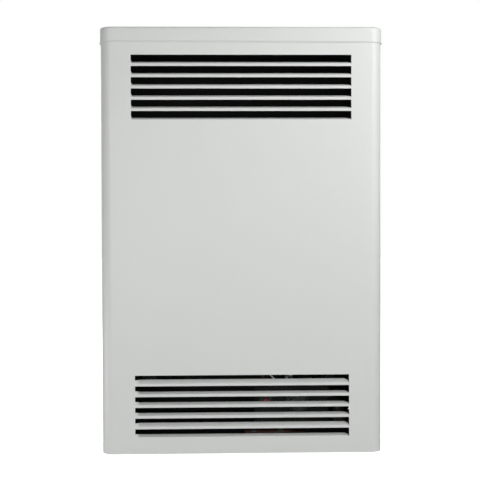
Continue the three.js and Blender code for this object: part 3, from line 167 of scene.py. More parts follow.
def finish_piece(name: str, mesh_data: bmesh.types.BMesh,
                 material: bpy.types.Material) -> bpy.types.Object:
    """Turns a bmesh into a scene object with its material, smooth apart from its sharp edges.

    Args:
        name: The piece's name.
        mesh_data: The mesh in metres, which is freed.
        material: The piece's finish.

    Returns:
        The new object, at the origin.
    """
    mesh = bpy.data.meshes.new(name)
    mesh_data.to_mesh(mesh)
    mesh_data.free()
    mesh.materials.append(material)
    mesh.polygons.foreach_set("use_smooth", [True] * len(mesh.polygons))
    mesh.set_sharp_from_angle(angle=math.radians(SMOOTH_BELOW))
    uses = [0] * len(mesh.edges)
    for loop in mesh.loops:
        uses[loop.edge_index] += 1
    for edge, count in zip(mesh.edges, uses):
        if count == 1:
            edge.use_edge_sharp = True
    piece = bpy.data.objects.new(name, mesh)
    bpy.context.scene.collection.objects.link(piece)
    log.info("%s: %d faces", name, len(mesh.polygons))
    return piece


def thicken(piece: bpy.types.Object, thickness: float) -> bpy.types.Object:
    """Gives a skin its sheet's thickness, on the inside.

    Args:
        piece: The skin.
        thickness: The sheet's thickness in mm.

    Returns:
        The same piece.
    """
    wall = piece.modifiers.new("sheet", "SOLIDIFY")
    wall.thickness = thickness * MM
    wall.offset = -1.0
    return piece


def add_rod(mesh: bmesh.types.BMesh, start: Vector, end: Vector, radius: float, sides: int = 32,
            end_radius: float | None = None) -> None:
    """Adds a closed round bar, cone or hexagonal head.

    Args:
        mesh: The mesh that gets it.
        start: Middle of its first end, in metres.
        end: Middle of its other end, in metres.
        radius: Its radius in mm, to the corners where it has few sides.
        sides: How many sides it has.
        end_radius: The radius at its other end, if that is another.
    """
    axis = end - start
    turn = axis.to_track_quat("Z", "Y").to_matrix().to_4x4()
    far = radius if end_radius is None else end_radius
    bmesh.ops.create_cone(
        mesh, cap_ends=True, segments=sides, radius1=radius * MM, radius2=far * MM,
        depth=axis.length, matrix=Matrix.Translation((start + end) / 2) @ turn)


def add_prism(mesh: bmesh.types.BMesh, outline: Iterable[tuple[float, float]], bottom: float,
              top: float) -> None:
    """Adds a closed prism over a plan outline.

    Args:
        mesh: The mesh that gets it.
        outline: The corners (x, y) in mm, in order.
        bottom: The height of its lower end.
        top: The height of its upper end.
    """
    base = mesh.faces.new([mesh.verts.new(place(x, y, bottom)) for x, y in outline])
    grown = bmesh.ops.extrude_face_region(mesh, geom=[base], use_keep_orig=True)["geom"]
    raised = [v for v in grown if isinstance(v, bmesh.types.BMVert)]
    bmesh.ops.translate(mesh, vec=(0.0, 0.0, (top - bottom) * MM), verts=raised)
    bmesh.ops.recalc_face_normals(mesh, faces=mesh.faces)


# ---- Finishes ------------------------------------------------------------------------------------


@dataclass(frozen=True)
class Finish:
    """A material with its base values. Each kind of surface adds its own pattern."""

    name: str
    colour: str
    roughness: float
    metallic: float = 0.0

    def start(self) -> tuple[bpy.types.NodeTree, bpy.types.Node, bpy.types.NodeSocket]:
        """Makes the material's tree with its shader and its coordinates.

        Returns:
            The tree, the shader node and the Object coordinates' socket.
        """
        material = bpy.data.materials.new(self.name)
        material.use_nodes = True
        tree = material.node_tree
        tree.nodes.clear()
        shader = add_node(tree, "ShaderNodeBsdfPrincipled", None, {
            "Base Color": linear(self.colour), "Roughness": self.roughness,
            "Metallic": self.metallic})
        add_node(tree, "ShaderNodeOutputMaterial", None, {"Surface": shader.outputs["BSDF"]})
        where = add_node(tree, "ShaderNodeTexCoord").outputs["Object"]
        return tree, shader, where

    def material(self) -> bpy.types.Material:
        """Gives the finish's material, made on its first use."""
        found = bpy.data.materials.get(self.name)
        if found is None:
            tree, shader, where = self.start()
            self.pattern(tree, shader, where)
            found = bpy.data.materials[self.name]
        return found

    def tint(self, tree: bpy.types.NodeTree, shader: bpy.types.Node,
             level: bpy.types.NodeSocket) -> None:
        """Multiplies the base colour by a level.

        Args:
            tree: The material's tree.
            shader: Its shader.
            level: The level's socket.
        """
        colour = add_node(tree, "ShaderNodeVectorMath", {"operation": "SCALE"}, {
            0: linear(self.colour)[:3], "Scale": level})
        tree.links.new(colour.outputs["Vector"], shader.inputs["Base Color"])

    def emboss(self, tree: bpy.types.NodeTree, shader: bpy.types.Node, noise: bpy.types.Node,
               relief: float, strength: float = 1.0) -> None:
        """Raises the surface by a noise.

        Args:
            tree: The material's tree.
            shader: Its shader.
            noise: The noise node.
            relief: The height in mm.
            strength: How much of it shows.
        """
        bump = add_node(tree, "ShaderNodeBump", None, {
            "Height": noise.outputs["Fac"], "Distance": relief * MM, "Strength": strength})
        tree.links.new(bump.outputs["Normal"], shader.inputs["Normal"])

    def pattern(self, tree: bpy.types.NodeTree, shader: bpy.types.Node,
                where: bpy.types.NodeSocket) -> None:
        """Adds the surface's own pattern. The base finish has none.

        Args:
            tree: The material's tree.
            shader: Its shader.
            where: The Object coordinates' socket.
        """


@dataclass(frozen=True)
class PowderCoat(Finish):
    """Polyester powder coat, baked on: satin, with a faint orange peel in its highlights."""

    peel: float = 2.2  # the ripple's length in mm
    ripple: float = 0.006  # its height in mm
    film: float = 180.0  # the width in mm of a patch of thicker film
    tones: tuple[float, float] = (0.985, 1.01)  # from the thinnest film to the thickest

    def pattern(self, tree: bpy.types.NodeTree, shader: bpy.types.Node,
                where: bpy.types.NodeSocket) -> None:
        """Adds the orange peel and a faint unevenness in the film's tone."""
        film = add_noise(tree, where, self.film)
        self.tint(tree, shader, spread(tree, film.outputs["Fac"], self.tones))
        self.emboss(tree, shader, add_noise(tree, where, self.peel, 1.0), self.ripple)


@dataclass(frozen=True)
class GalvanisedSteel(Finish):
    """Hot-dip zinc on sheet steel: frosty crystals, each with its own tone and shine."""

    spangle: float = 9.0  # a crystal's width in mm
    tones: tuple[float, float] = (0.82, 1.12)  # from the darkest crystal to the brightest
    duller: tuple[float, float] = (-0.09, 0.1)  # and how far its roughness is off the base
    bend: float = 6.0  # the crystals' borders bend over this length in mm
    bend_by: float = 3.0
    frost: float = 1.1  # the frosting's grain in mm
    relief: float = 0.02  # its height in mm

    def pattern(self, tree: bpy.types.NodeTree, shader: bpy.types.Node,
                where: bpy.types.NodeSocket) -> None:
        """Adds the spangle as cells with bent borders, and fine frosting over them."""
        warp = add_noise(tree, where, self.bend)
        bent = add_node(tree, "ShaderNodeVectorMath", {"operation": "MULTIPLY_ADD"}, {
            0: warp.outputs["Color"], 1: (self.bend_by * MM,) * 3, 2: where})
        cells = add_node(tree, "ShaderNodeTexVoronoi", {"feature": "F1"}, {
            "Vector": bent.outputs["Vector"], "Scale": 1 / (self.spangle * MM)})
        split = add_node(tree, "ShaderNodeSeparateColor", None, {"Color": cells.outputs["Color"]})
        self.tint(tree, shader, spread(tree, split.outputs["Red"], self.tones))
        low, high = (self.roughness + change for change in self.duller)
        shine = spread(tree, split.outputs["Green"], (low, high))
        tree.links.new(shine, shader.inputs["Roughness"])
        self.emboss(tree, shader, add_noise(tree, where, self.frost, 3.0), self.relief, 0.6)


@dataclass(frozen=True)
class GalvanisedWithPaintedShade(GalvanisedSteel):
    """Galvanised sheet with painted shade in front, flat black, so that nothing shines behind the
    louvres.
    """

    # the painted shade: its colour and its roughness
    shade_colour: str = "#0A0A0A"
    shade_roughness: float = 0.85
    shade_fade: tuple[float, float] = (0.9, 0.5)  # the normal's y where the painted shade starts and is full

    def pattern(self, tree: bpy.types.NodeTree, shader: bpy.types.Node,
                where: bpy.types.NodeSocket) -> None:
        """Adds the spangle, then painted shade, flat black, on every face that doesn't look at the
        wall.
        """
        super().pattern(tree, shader, where)
        normal = add_node(tree, "ShaderNodeTexCoord").outputs["Normal"]
        facing = add_node(tree, "ShaderNodeSeparateXYZ", None, {"Vector": normal}).outputs["Y"]
        # The painted shade fades in as the normal turns away from the wall, so it reaches round an
        # edge for a short way and thins out there.
        shade_cover = spread(tree, facing, (0.0, 1.0), self.shade_fade)
        for kind, name, painted in (("RGBA", "Base Color", linear(self.shade_colour)),
                                    ("FLOAT", "Roughness", self.shade_roughness),
                                    ("FLOAT", "Metallic", 0.0)):
            first, second, result = MIX_SOCKETS[kind]
            mix = add_node(tree, "ShaderNodeMix", {"data_type": kind}, {0: shade_cover, second: painted})
            bare = shader.inputs[name]
            if bare.is_linked:
                tree.links.new(bare.links[0].from_socket, mix.inputs[first])
            else:
                mix.inputs[first].default_value = bare.default_value
            tree.links.new(mix.outputs[result], bare)


@dataclass(frozen=True)
class GrainedSurface(Finish):
    """A surface with an even fine grain: castings, enamels, mouldings, tubes and fibre."""

    grain: float = 0.8  # the grain's width in mm
    relief: float = 0.03  # its height in mm
    mottle: float = 0.12  # how far the tone wanders, as a share
    patch: float = 30.0  # the width of a tone patch in mm
    sheen: float = 0.06  # how far the roughness wanders
    swing: tuple[float, float] = (0.3, 0.7)  # the noise's levels that give the two extremes

    def pattern(self, tree: bpy.types.NodeTree, shader: bpy.types.Node,
                where: bpy.types.NodeSocket) -> None:
        """Adds the grain as relief, and soft patches of tone and shine."""
        patches = add_noise(tree, where, self.patch, 4.0).outputs["Fac"]
        tones = (1 - self.mottle, 1 + self.mottle)
        self.tint(tree, shader, spread(tree, patches, tones, self.swing))
        shines = (max(self.roughness - self.sheen, SMOOTHEST),
                  min(self.roughness + self.sheen, 1.0))
        tree.links.new(spread(tree, patches, shines, self.swing), shader.inputs["Roughness"])
        self.emboss(tree, shader, add_noise(tree, where, self.grain), self.relief)


@dataclass(frozen=True)
class ClearGlass(Finish):
    """Heat-resistant glass of the sight port: clear, with a faint tint and waviness."""

    refraction: float = 1.47
    wave: float = 9.0  # the waviness's length in mm
    relief: float = 0.01  # its height in mm

    def pattern(self, tree: bpy.types.NodeTree, shader: bpy.types.Node,
                where: bpy.types.NodeSocket) -> None:
        """Makes the shader clear, with a faint waviness in the surface."""
        shader.inputs["Transmission Weight"].default_value = 1.0
        shader.inputs["IOR"].default_value = self.refraction
        self.emboss(tree, shader, add_noise(tree, where, self.wave), self.relief, 0.5)


# After the colour come the roughness and the metallic share, and for a grained surface its grain,
# relief, mottle and patch.
POWDER_COAT = PowderCoat("powder_coated_steel", "#DCDEDC", 0.42)
GALVANISED = GalvanisedSteel("hot_dip_galvanised_steel", "#B2B6B9", 0.42, 1.0)
# Black heat enamel, darkened to near black so that the sheets seen through the louvres stay as dark
# as their shade: partly the enamel's own colour, partly painted shade.
BLACK_ENAMEL_AND_SHADE = GrainedSurface("fired_black_enamel_and_painted_shade", "#0F0F10", 0.8, 0.0, 0.7, 0.03, 0.18, 45.0)
CAST_ALUMINIUM = GrainedSurface("die_cast_aluminium", "#B4B7B9", 0.48, 1.0, 0.9, 0.04, 0.08, 14.0)
BRASS = GrainedSurface("turned_brass", "#C9A557", 0.3, 1.0, 0.5, 0.008, 0.06, 10.0)
BLACK_PIPE = GrainedSurface("black_iron_pipe", "#2A2A2B", 0.55, 0.0, 0.8, 0.05, 0.2, 16.0)
DRAWN_ALUMINIUM = GrainedSurface(
    "drawn_aluminium_tube", "#C6C9CB", 0.3, 1.0, 0.6, 0.006, 0.05, 12.0)
COPPER = GrainedSurface("drawn_copper_tube", "#C47F58", 0.3, 1.0, 0.6, 0.006, 0.12, 10.0)
BLACK_PHENOLIC = GrainedSurface(
    "moulded_black_phenolic", "#1E1E20", 0.42, 0.0, 0.4, 0.012, 0.06, 20.0)
RED_PLASTIC = GrainedSurface("moulded_red_nylon", "#8E1A15", 0.36, 0.0, 0.4, 0.01, 0.05, 12.0)
CERAMIC = GrainedSurface("glazed_alumina", "#EDE8DC", 0.22, 0.0, 1.2, 0.01, 0.03, 8.0)
SIGHT_GLASS = ClearGlass("borosilicate_glass", "#EAF3F0", 0.04)
SILICONE = GrainedSurface("silicone_cable_sleeve", "#2A1210", 0.55, 0.0, 0.5, 0.01, 0.06, 10.0)
FIBRE = GrainedSurface("ceramic_fibre_gasket", "#D6D1C4", 0.95, 0.0, 0.6, 0.12, 0.1, 5.0)
SPRING_STEEL = GrainedSurface("blued_spring_steel", "#9CA0A4", 0.3, 1.0, 0.4, 0.005, 0.1, 12.0)

# Air and heat have browned the copper of the bulb and the thermocouple, and the bulb's clips are
# blacked in oil.
BROWNED_COPPER = GrainedSurface("browned_copper_tube", "#3B2418", 0.5, 0.6, 0.6, 0.01, 0.3, 12.0)
OILED_STEEL = GrainedSurface(
    "oil_blacked_spring_steel", "#1B1B1C", 0.45, 0.0, 0.5, 0.01, 0.15, 12.0)
# The back panel's front gets painted shade, flat black, so that nothing shines behind the louvres.
PANEL_WITH_PAINTED_SHADE = GalvanisedWithPaintedShade("galvanised_sheet_with_painted_shade_in_front", "#B2B6B9", 0.42, 1.0)
# The trim's black, seen at the louvres' right ends, is painted shade there.
BLACK_RUBBER_AND_SHADE = GrainedSurface("black_rubber_and_painted_shade", "#161617", 0.7, 0.0, 0.5, 0.015, 0.08, 20.0)

FINISH_OF_NODE = {
    "back_panel": PANEL_WITH_PAINTED_SHADE, "thermostat_bulb": BROWNED_COPPER, "thermocouple": BROWNED_COPPER,
    "bulb_clip_left": OILED_STEEL, "bulb_clip_right": OILED_STEEL,
}
FINISH_OF_SLOT = {
    "powder_coat": POWDER_COAT, "galvanised_steel": GALVANISED, "black_heat_enamel": BLACK_ENAMEL_AND_SHADE,
    "cast_aluminium": CAST_ALUMINIUM, "brass": BRASS, "black_pipe": BLACK_PIPE,
    "aluminium_tube": DRAWN_ALUMINIUM, "copper": COPPER, "black_plastic": BLACK_PHENOLIC,
    "red_plastic": RED_PLASTIC, "ceramic": CERAMIC, "sight_glass": SIGHT_GLASS,
    "silicone_cable": SILICONE, "fibre_gasket": FIBRE, "spring_steel": SPRING_STEEL,
}


# ---- Casing --------------------------------------------------------------------------------------


@dataclass(frozen=True)
class Grille:
    """A block of equal pressed louvres, one above the other."""

    width: float
    slot: float
    pitch: float
    lowest: float  # the lowest slot's bottom edge
    web: float  # a louvre's left end is drawn back to the face over this width
    leans: tuple[float, ...]  # how far each blade is pressed in, in degrees, from the lowest up

    def slots(self) -> list[tuple[float, float]]:
        """Lists the slots from the lowest up.

        Returns:
            Each slot's bottom edge and its blade's lean in radians.
        """
        return [(self.lowest + i * self.pitch, math.radians(lean))
                for i, lean in enumerate(self.leans)]


@dataclass
class Casing:
    """The wrapped front sheet with its louvres, and the cap over its top."""

    width: float = 465.0
    top: float = 698.7
    bottom: float = -1.5  # the flange and its paint reach just below the CAD sheet
    depth: float = 277.0
    sheet: float = 1.2
    corner: float = 19.0
    wall_gap: float = 3.0
    rear_flange: float = 12.0
    rear_bend: float = 2.6
    bottom_flange: float = 14.0
    bottom_bend: float = 1.6
    bend: float = 1.4  # radius of the bend at a blade's root
    steepest: float = 75.0  # the bend has edges up to this lean, in degrees
    bend_steps: int = 6
    blade_steps: int = 3  # from the bend to the blade's tip
    strip: float = 10.4  # length of a blade from the slot's lower edge
    side_join: float = 6.4  # height of a louvre's left end that stays joined to the face
    web_steps: int = 5
    free_end: float = 9.0  # its right end is cut free along a quarter ellipse this long
    free_shares: tuple[float, ...] = (1, 0.85, 0.7, 0.55, 0.4, 0.28, 0.18, 0.1, 0.04)
    support: float = 0.8  # an extra row of edges this close to a bend keeps the flat sheet flat
    corner_steps: int = 14
    rear_steps: int = 5
    upper: Grille = Grille(362.8, 14.6, 18.42, 549.9, 1.2, (70.5, 70.5, 70.5, 70.5, 70.5, 70.5))
    lower: Grille = Grille(354.4, 14.3, 17.77, 25.5, 8.0, (72, 61, 72, 72, 73, 54))
    cap_bottom: float = 677.2
    cap_overhang: float = 1.2
    cap_crown: float = 0.6  # the drawn top stands this far over the CAD cap
    cap_sheet: float = 1.2
    cap_roll: float = 3.8
    cap_roll_steps: int = 6
    hem: float = 1.0
    hem_out: float = 0.9
    hem_gap: float = 0.3  # the folded hem stands this far off the front sheet
    hem_round: float = 0.6
    # Stations round the hem's inner and outer edge: in and up from the corner, as shares of
    # hem_round.
    hem_inner: tuple[tuple[float, float], ...] = ((0.0, 0.5), (0.3, 0.13), (1.0, 0.0))
    hem_outer: tuple[tuple[float, float], ...] = ((1.0, 0.0), (0.3, 0.3), (0.0, 1.0))
    paint: Finish = POWDER_COAT

    @property
    def straight(self) -> float:
        """Half the flat front: from the middle to where a corner starts."""
        return self.width / 2 - self.corner

    @property
    def corner_y(self) -> float:
        """How far behind the wall's plane the front corners' centres are, so negative."""
        return self.corner - self.depth

    @property
    def side_run(self) -> float:
        """The flat side: from the front corner's end to the rear bend."""
        return self.depth - self.corner - self.wall_gap - self.rear_bend

    def plan_point(self, along: float) -> tuple[Vector, Vector]:
        """Bends the flat sheet round the casing.

        Args:
            along: Distance along the sheet from the middle of the front.

        Returns:
            The point in (x, y) and the direction that faces out.
        """
        side = math.copysign(1.0, along)
        rest = abs(along)
        if rest <= self.straight:
            return Vector((side * rest, -self.depth)), Vector((0.0, -1.0))
        rest -= self.straight
        arc = self.corner * math.pi / 2
        if rest <= arc:
            angle = rest / self.corner
            out = Vector((side * math.sin(angle), -math.cos(angle)))
            return Vector((side * self.straight, self.corner_y)) + out * self.corner, out
        rest -= arc
        if rest <= self.side_run:
            return Vector((side * self.width / 2, self.corner_y + rest)), Vector((side, 0.0))
        rest -= self.side_run
        arc = self.rear_bend * math.pi / 2
        rear_x = self.width / 2 - self.rear_bend
        if rest <= arc:
            angle = rest / self.rear_bend
            out = Vector((side * math.cos(angle), math.sin(angle)))
            centre = Vector((side * rear_x, -self.wall_gap - self.rear_bend))
            return centre + out * self.rear_bend, out
        rest -= arc
        return Vector((side * (rear_x - rest), -self.wall_gap)), Vector((0.0, 1.0))

    def flat_length(self) -> float:
        """Gives the flat sheet's length from the middle to the rear flange's edge."""
        return (self.straight + (self.corner + self.rear_bend) * math.pi / 2 + self.side_run
                + self.rear_flange - self.rear_bend)

    def bend_stations(self) -> list[float]:
        """Gives the distances along half the sheet where a bend or a flange's end needs an edge."""
        arc = self.corner * math.pi / 2
        second = self.straight + arc + self.side_run
        small = self.rear_bend * math.pi / 2
        flange_end = second + self.rear_bend - self.bottom_flange
        corner = [self.straight + arc * i / self.corner_steps for i in range(self.corner_steps + 1)]
        rear = [second + small * i / self.rear_steps for i in range(self.rear_steps + 1)]
        return corner + [flange_end] + rear

    def strip_shares(self) -> list[float]:
        """Gives the shares of a louvre's strip that have an edge, close in its bend, to its tip."""
        bend = self.bend * math.radians(self.steepest) / self.strip
        return ([bend * i / self.bend_steps for i in range(1, self.bend_steps + 1)]
                + [bend + (1 - bend) * i / self.blade_steps
                   for i in range(1, self.blade_steps + 1)])

    def blade(self, share: float, inside: float, lean: float,
              web: float | None) -> tuple[float, float]:
        """Places a point of a pressed louvre.

        Args:
            share: How far up its strip the point is, from 0 at the slot's bottom edge to 1.
            inside: Distance in from the slot's nearer end.
            lean: How far the blade is pressed in, in radians.
            web: Width over which that end is drawn back to the face, or None if it is cut free.

        Returns:
            The distance behind the face and the height over the slot's bottom edge.
        """
        along = share * self.strip
        open_by = 1.0
        if web is None:
            reach = min(inside / self.free_end, 1.0)
            along *= math.sqrt(1 - (1 - reach) ** 2)
        else:
            open_by = min(inside / web, 1.0)
        arc = min(along, self.bend * lean)
        angle = arc / self.bend
        straight = along - arc
        behind = self.bend * (1 - math.cos(angle)) + straight * math.sin(angle)
        up = self.bend * math.sin(angle) + straight * math.cos(angle)
        joined = share * self.side_join
        return behind * open_by, joined + (up - joined) * open_by

    def louvre_columns(self, grille: Grille) -> list[float]:
        """Gives the places across a grille where its louvres need an edge."""
        end = grille.width / 2
        free = [end - self.free_end * share for share in self.free_shares]
        web = [grille.web * i / self.web_steps - end for i in range(1, self.web_steps + 1)]
        return [-end, *web, *free, end]

    def front_mesh(self) -> bmesh.types.BMesh:
        """Cuts, presses and bends the front sheet.

        Returns:
            The sheet as a bmesh in metres.
        """
        half = self.flat_length()
        sheet = bmesh.new()
        bmesh.ops.create_grid(sheet, x_segments=1, y_segments=1, size=1.0)
        bmesh.ops.scale(sheet, vec=(half, (self.top - self.bottom) / 2, 1.0), verts=sheet.verts)
        bmesh.ops.translate(sheet, vec=(0.0, (self.top + self.bottom) / 2, 0.0), verts=sheet.verts)

        columns = {side * station for station in self.bend_stations() for side in (-1, 1)}
        rows = {self.bottom + self.bottom_bend}
        for grille in (self.upper, self.lower):
            columns.update(self.louvre_columns(grille))
            for bottom, _ in grille.slots():
                rows.update((bottom - self.support, bottom, bottom + grille.slot))
                rows.update(bottom + self.side_join * share for share in self.strip_shares())
        cuts = [(x, 0.0, (1.0, 0.0, 0.0)) for x in columns]
        cuts += [(0.0, z, (0.0, 1.0, 0.0)) for z in rows]
        for x, z, direction in cuts:
            bmesh.ops.bisect_plane(
                sheet, geom=[*sheet.verts, *sheet.edges, *sheet.faces], dist=CUT_MM,
                plane_co=(x, z, 0.0), plane_no=direction)

        slots = [(grille, *slot) for grille in (self.upper, self.lower) for slot in grille.slots()]
        opened = []
        for face in sheet.faces:
            middle = face.calc_center_median()
            for grille, bottom, _ in slots:
                inside = grille.width / 2 - abs(middle.x)
                above = middle.y - bottom
                beside_free_end = middle.x > 0 and inside < self.free_shares[-1] * self.free_end
                cut = above > self.side_join or beside_free_end
                if inside > 0 and 0 < above < grille.slot and cut:
                    opened.append(face)
        bmesh.ops.delete(sheet, geom=opened, context="FACES")

        for vert in sheet.verts:
            along, height = vert.co.x, vert.co.y
            behind = 0.0
            for grille, bottom, lean in slots:
                inside = grille.width / 2 - abs(along)
                above = vert.co.y - bottom
                if inside > SAME_MM and SAME_MM < above < self.side_join + SAME_MM:
                    web = None if along > 0 else grille.web
                    behind, up = self.blade(above / self.side_join, inside, lean, web)
                    height = bottom + up
            spot, out = self.plan_point(along)
            spot = spot - out * behind
            vert.co = place(spot.x, spot.y, height)
        return sheet

    def build_front(self) -> bpy.types.Object:
        """Builds the front sheet with its bottom flange, thickens it and paints it.

        Returns:
            The front piece.
        """
        sheet = self.front_mesh()
        bottom = place(0, -self.wall_gap - self.bottom_flange, self.bottom)
        hem = [e for e in sheet.edges if e.is_boundary
               and all(abs(v.co.z - bottom.z) < SAME and v.co.y < bottom.y + 10 * SAME
                       for v in e.verts)]
        grown = bmesh.ops.extrude_edge_only(sheet, edges=hem)
        for vert in (v for v in grown["geom"] if isinstance(v, bmesh.types.BMVert)):
            vert.co = self.inwards(vert.co, self.bottom_flange)
        bmesh.ops.recalc_face_normals(sheet, faces=sheet.faces)
        outward = sum(f.calc_area() for f in sheet.faces if f.normal.y < -0.5)
        inward = sum(f.calc_area() for f in sheet.faces if f.normal.y > 0.5)
        if inward > outward:
            bmesh.ops.reverse_faces(sheet, faces=sheet.faces)
        return thicken(finish_piece("casing_front", sheet, self.paint.material()), self.sheet)

    def inwards(self, spot: Vector, distance: float) -> Vector:
        """Moves a point of the bottom edge in from the casing's outline.

        Args:
            spot: A point on the outline, in metres.
            distance: How far it moves.

        Returns:
            The moved point.
        """
        x, y = spot.x / MM, spot.y / MM
        if y < self.corner_y and abs(x) > self.straight:
            centre = Vector((math.copysign(self.straight, x), self.corner_y))
            arm = Vector((x, y)) - centre
            moved = centre + arm * (self.corner - distance) / self.corner
        elif y <= self.corner_y:
            moved = Vector((x, y + distance))
        else:
            moved = Vector((math.copysign(self.width / 2 - distance, x), y))
        return Vector((moved.x * MM, moved.y * MM, spot.z))

    def outline(self, margin: float) -> list[Vector]:
        """Gives the casing's plan outline, grown by a margin and open to the wall.

        Args:
            margin: How far outside the casing the line runs.

        Returns:
            The line's points in (x, y).
        """
        radius = self.corner + margin
        line = [Vector((-self.width / 2 - margin, -self.wall_gap))]
        for x, start in ((-self.straight, math.pi), (self.straight, 1.5 * math.pi)):
            for i in range(self.corner_steps + 1):
                angle = start + math.pi / 2 * i / self.corner_steps
                line.append(Vector((x + radius * math.cos(angle),
                                    self.corner_y + radius * math.sin(angle))))
        line.append(Vector((self.width / 2 + margin, -self.wall_gap)))
        return line

    def cap_levels(self) -> list[tuple[float, float]]:
        """Gives the cap's section, from the top of its folded hem round the lip to its top edge.

        Returns:
            How far outside the casing each station is, and its height.
        """
        lip = self.cap_overhang + self.hem_out
        hem_top = self.cap_bottom + self.hem
        inner = [(self.hem_gap + inset * self.hem_round, self.cap_bottom + rise * self.hem_round)
                 for inset, rise in self.hem_inner]
        outer = [(lip - inset * self.hem_round, self.cap_bottom + rise * self.hem_round)
                 for inset, rise in self.hem_outer]
        return [(self.hem_gap, hem_top), *inner, *outer, (lip, hem_top),
                (self.cap_overhang, hem_top + self.hem_out),
                (self.cap_overhang, HEIGHT + self.cap_crown)]

    def build_cap(self) -> bpy.types.Object:
        """Builds the cap: walls drawn down from a rolled top edge to a hem that stands proud.

        Returns:
            The cap piece.
        """
        cap = bmesh.new()
        (margin, level), *others = self.cap_levels()
        corners = [cap.verts.new(place(p.x, p.y, level)) for p in self.outline(margin)]
        edges = [cap.edges.new(pair) for pair in zip(corners, corners[1:])]
        for margin, level in others:
            grown = bmesh.ops.extrude_edge_only(cap, edges=edges)["geom"]
            fresh = [v for v in grown if isinstance(v, bmesh.types.BMVert)]
            edges = [e for e in grown if isinstance(e, bmesh.types.BMEdge)
                     and all(v in fresh for v in e.verts)]
            cap.verts.index_update()
            for vert, spot in zip(sorted(fresh, key=lambda v: v.index), self.outline(margin)):
                vert.co = place(spot.x, spot.y, level)

        height = HEIGHT + self.cap_crown
        top_z = place(0, 0, height).z
        rim = sorted((v for v in cap.verts if abs(v.co.z - top_z) < SAME), key=lambda v: v.index)
        cap.faces.new(rim)
        # The bevel rolls the whole rim only when the top and the walls face the same way.
        bmesh.ops.recalc_face_normals(cap, faces=cap.faces)
        rolled = [e for e in cap.edges if e.is_manifold
                  and all(abs(v.co.z - top_z) < SAME for v in e.verts)]
        bmesh.ops.bevel(cap, geom=rolled, offset=self.cap_roll * MM, segments=self.cap_roll_steps,
                        profile=0.5, affect="EDGES", material=-1)
        top = max(cap.faces, key=lambda face: face.calc_area() * face.normal.z)
        bmesh.ops.inset_region(cap, faces=[top], thickness=self.support * MM)
        for level in (height - self.cap_roll - self.support,
                      self.cap_bottom + self.hem + 2 * self.hem_out):
            bmesh.ops.bisect_plane(cap, geom=[*cap.verts, *cap.edges, *cap.faces], dist=SAME,
                                   plane_co=place(0, 0, level), plane_no=(0, 0, 1))
        bmesh.ops.recalc_face_normals(cap, faces=cap.faces)
        return thicken(finish_piece("casing_cap", cap, self.paint.material()), self.cap_sheet)

    def build(self) -> None:
        """Builds both painted pieces on the casing's body."""
        for piece, node in ((self.build_front(), "front_jacket"), (self.build_cap(), "top_cap")):
            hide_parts(node)
            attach(piece, "casing")


@dataclass
class EdgeTrim:
    """Black rubber trim on the casing's rear flanges, whose lip closes the gap to the back panel.
    It shuts out light, and its black, seen at the louvres' right ends, is painted shade there.
    """

    flange_edge: float = 220.5  # from the middle to the flange's edge
    panel_edge: float = 214.6
    rear: float = -3.0  # the flange's outer face
    sheet: float = 1.2
    grip: float = 4.5  # how far the trim reaches over the flange
    wall: float = 0.9
    gap: float = 0.1
    root_run: float = 0.6  # the lip narrows to its root over this width
    root: float = 0.5  # half the lip's thickness at its root
    tip: float = 0.4  # and at its tip
    runs: tuple[tuple[float, float], ...] = ((27.0, 334.0), (368.0, 690.0))  # clear of the catches

    def outline(self, side: Side) -> list[tuple[float, float]]:
        """Gives the trim's section in plan.

        Args:
            side: Which flange it is on.

        Returns:
            The corners (x, y), in order.
        """
        back, front = self.rear + self.gap, self.rear - self.sheet - self.gap
        edge = self.flange_edge - self.gap
        middle = (front + back) / 2
        root_x = edge - self.wall - self.root_run
        tip_x = self.panel_edge + self.gap
        right = [
            (edge + self.grip, back), (edge, back), (edge, front), (edge + self.grip, front),
            (edge + self.grip, front - self.wall), (edge - self.wall, front - self.wall),
            (root_x, middle - self.root), (tip_x, middle - self.tip),
            (tip_x, middle + self.tip), (root_x, middle + self.root),
            (edge - self.wall, back + self.wall), (edge + self.grip, back + self.wall),
        ]
        return [(side.value * x, y) for x, y in right]

    def build(self) -> None:
        """Builds both sides' trim on the casing."""
        for side, name in ((Side.LEFT, "edge_trim_left"), (Side.RIGHT, "edge_trim_right")):
            trim = bmesh.new()
            for bottom, top in self.runs:
                add_prism(trim, self.outline(side), bottom, top)
            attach(finish_piece(name, trim, BLACK_RUBBER_AND_SHADE.material()), "casing")


@dataclass
class WallScrews:
    """The hexagon screws and wide washers that hold the back panel to the wall."""

    places: tuple[tuple[float, float], ...] = ((-174.6, 74.1), (174.6, 74.1))
    seat: float = -1.3  # the washer's rear face, on the panel's front
    washer: float = 14.0
    washer_sheet: float = 1.5
    washer_sides: int = 40
    head: float = 5.8  # to the head's corners
    head_sides: int = 6
    head_height: float = 4.0
    shank: float = 2.9
    shank_sides: int = 20
    reach: float = 38.0  # into the wall
    point: float = 8.0  # length of the shank's tapered end
    tip: float = 0.3  # the taper's last radius

    def build(self) -> None:
        """Builds the screws as one group."""
        group = bmesh.new()
        for x, z in self.places:
            seat = place(x, self.seat, z)
            front = self.seat - self.washer_sheet
            face, head = place(x, front, z), place(x, front - self.head_height, z)
            taper, end = place(x, self.reach - self.point, z), place(x, self.reach, z)
            add_rod(group, seat, face, self.washer, self.washer_sides)
            add_rod(group, face, head, self.head, self.head_sides)
            add_rod(group, seat, taper, self.shank, self.shank_sides)
            add_rod(group, taper, end, self.shank, self.shank_sides, self.tip)
        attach(finish_piece("wall_screws", group, OILED_STEEL.material()), "chassis")


# ---- Chassis pieces kept from the CAD ------------------------------------------------------------


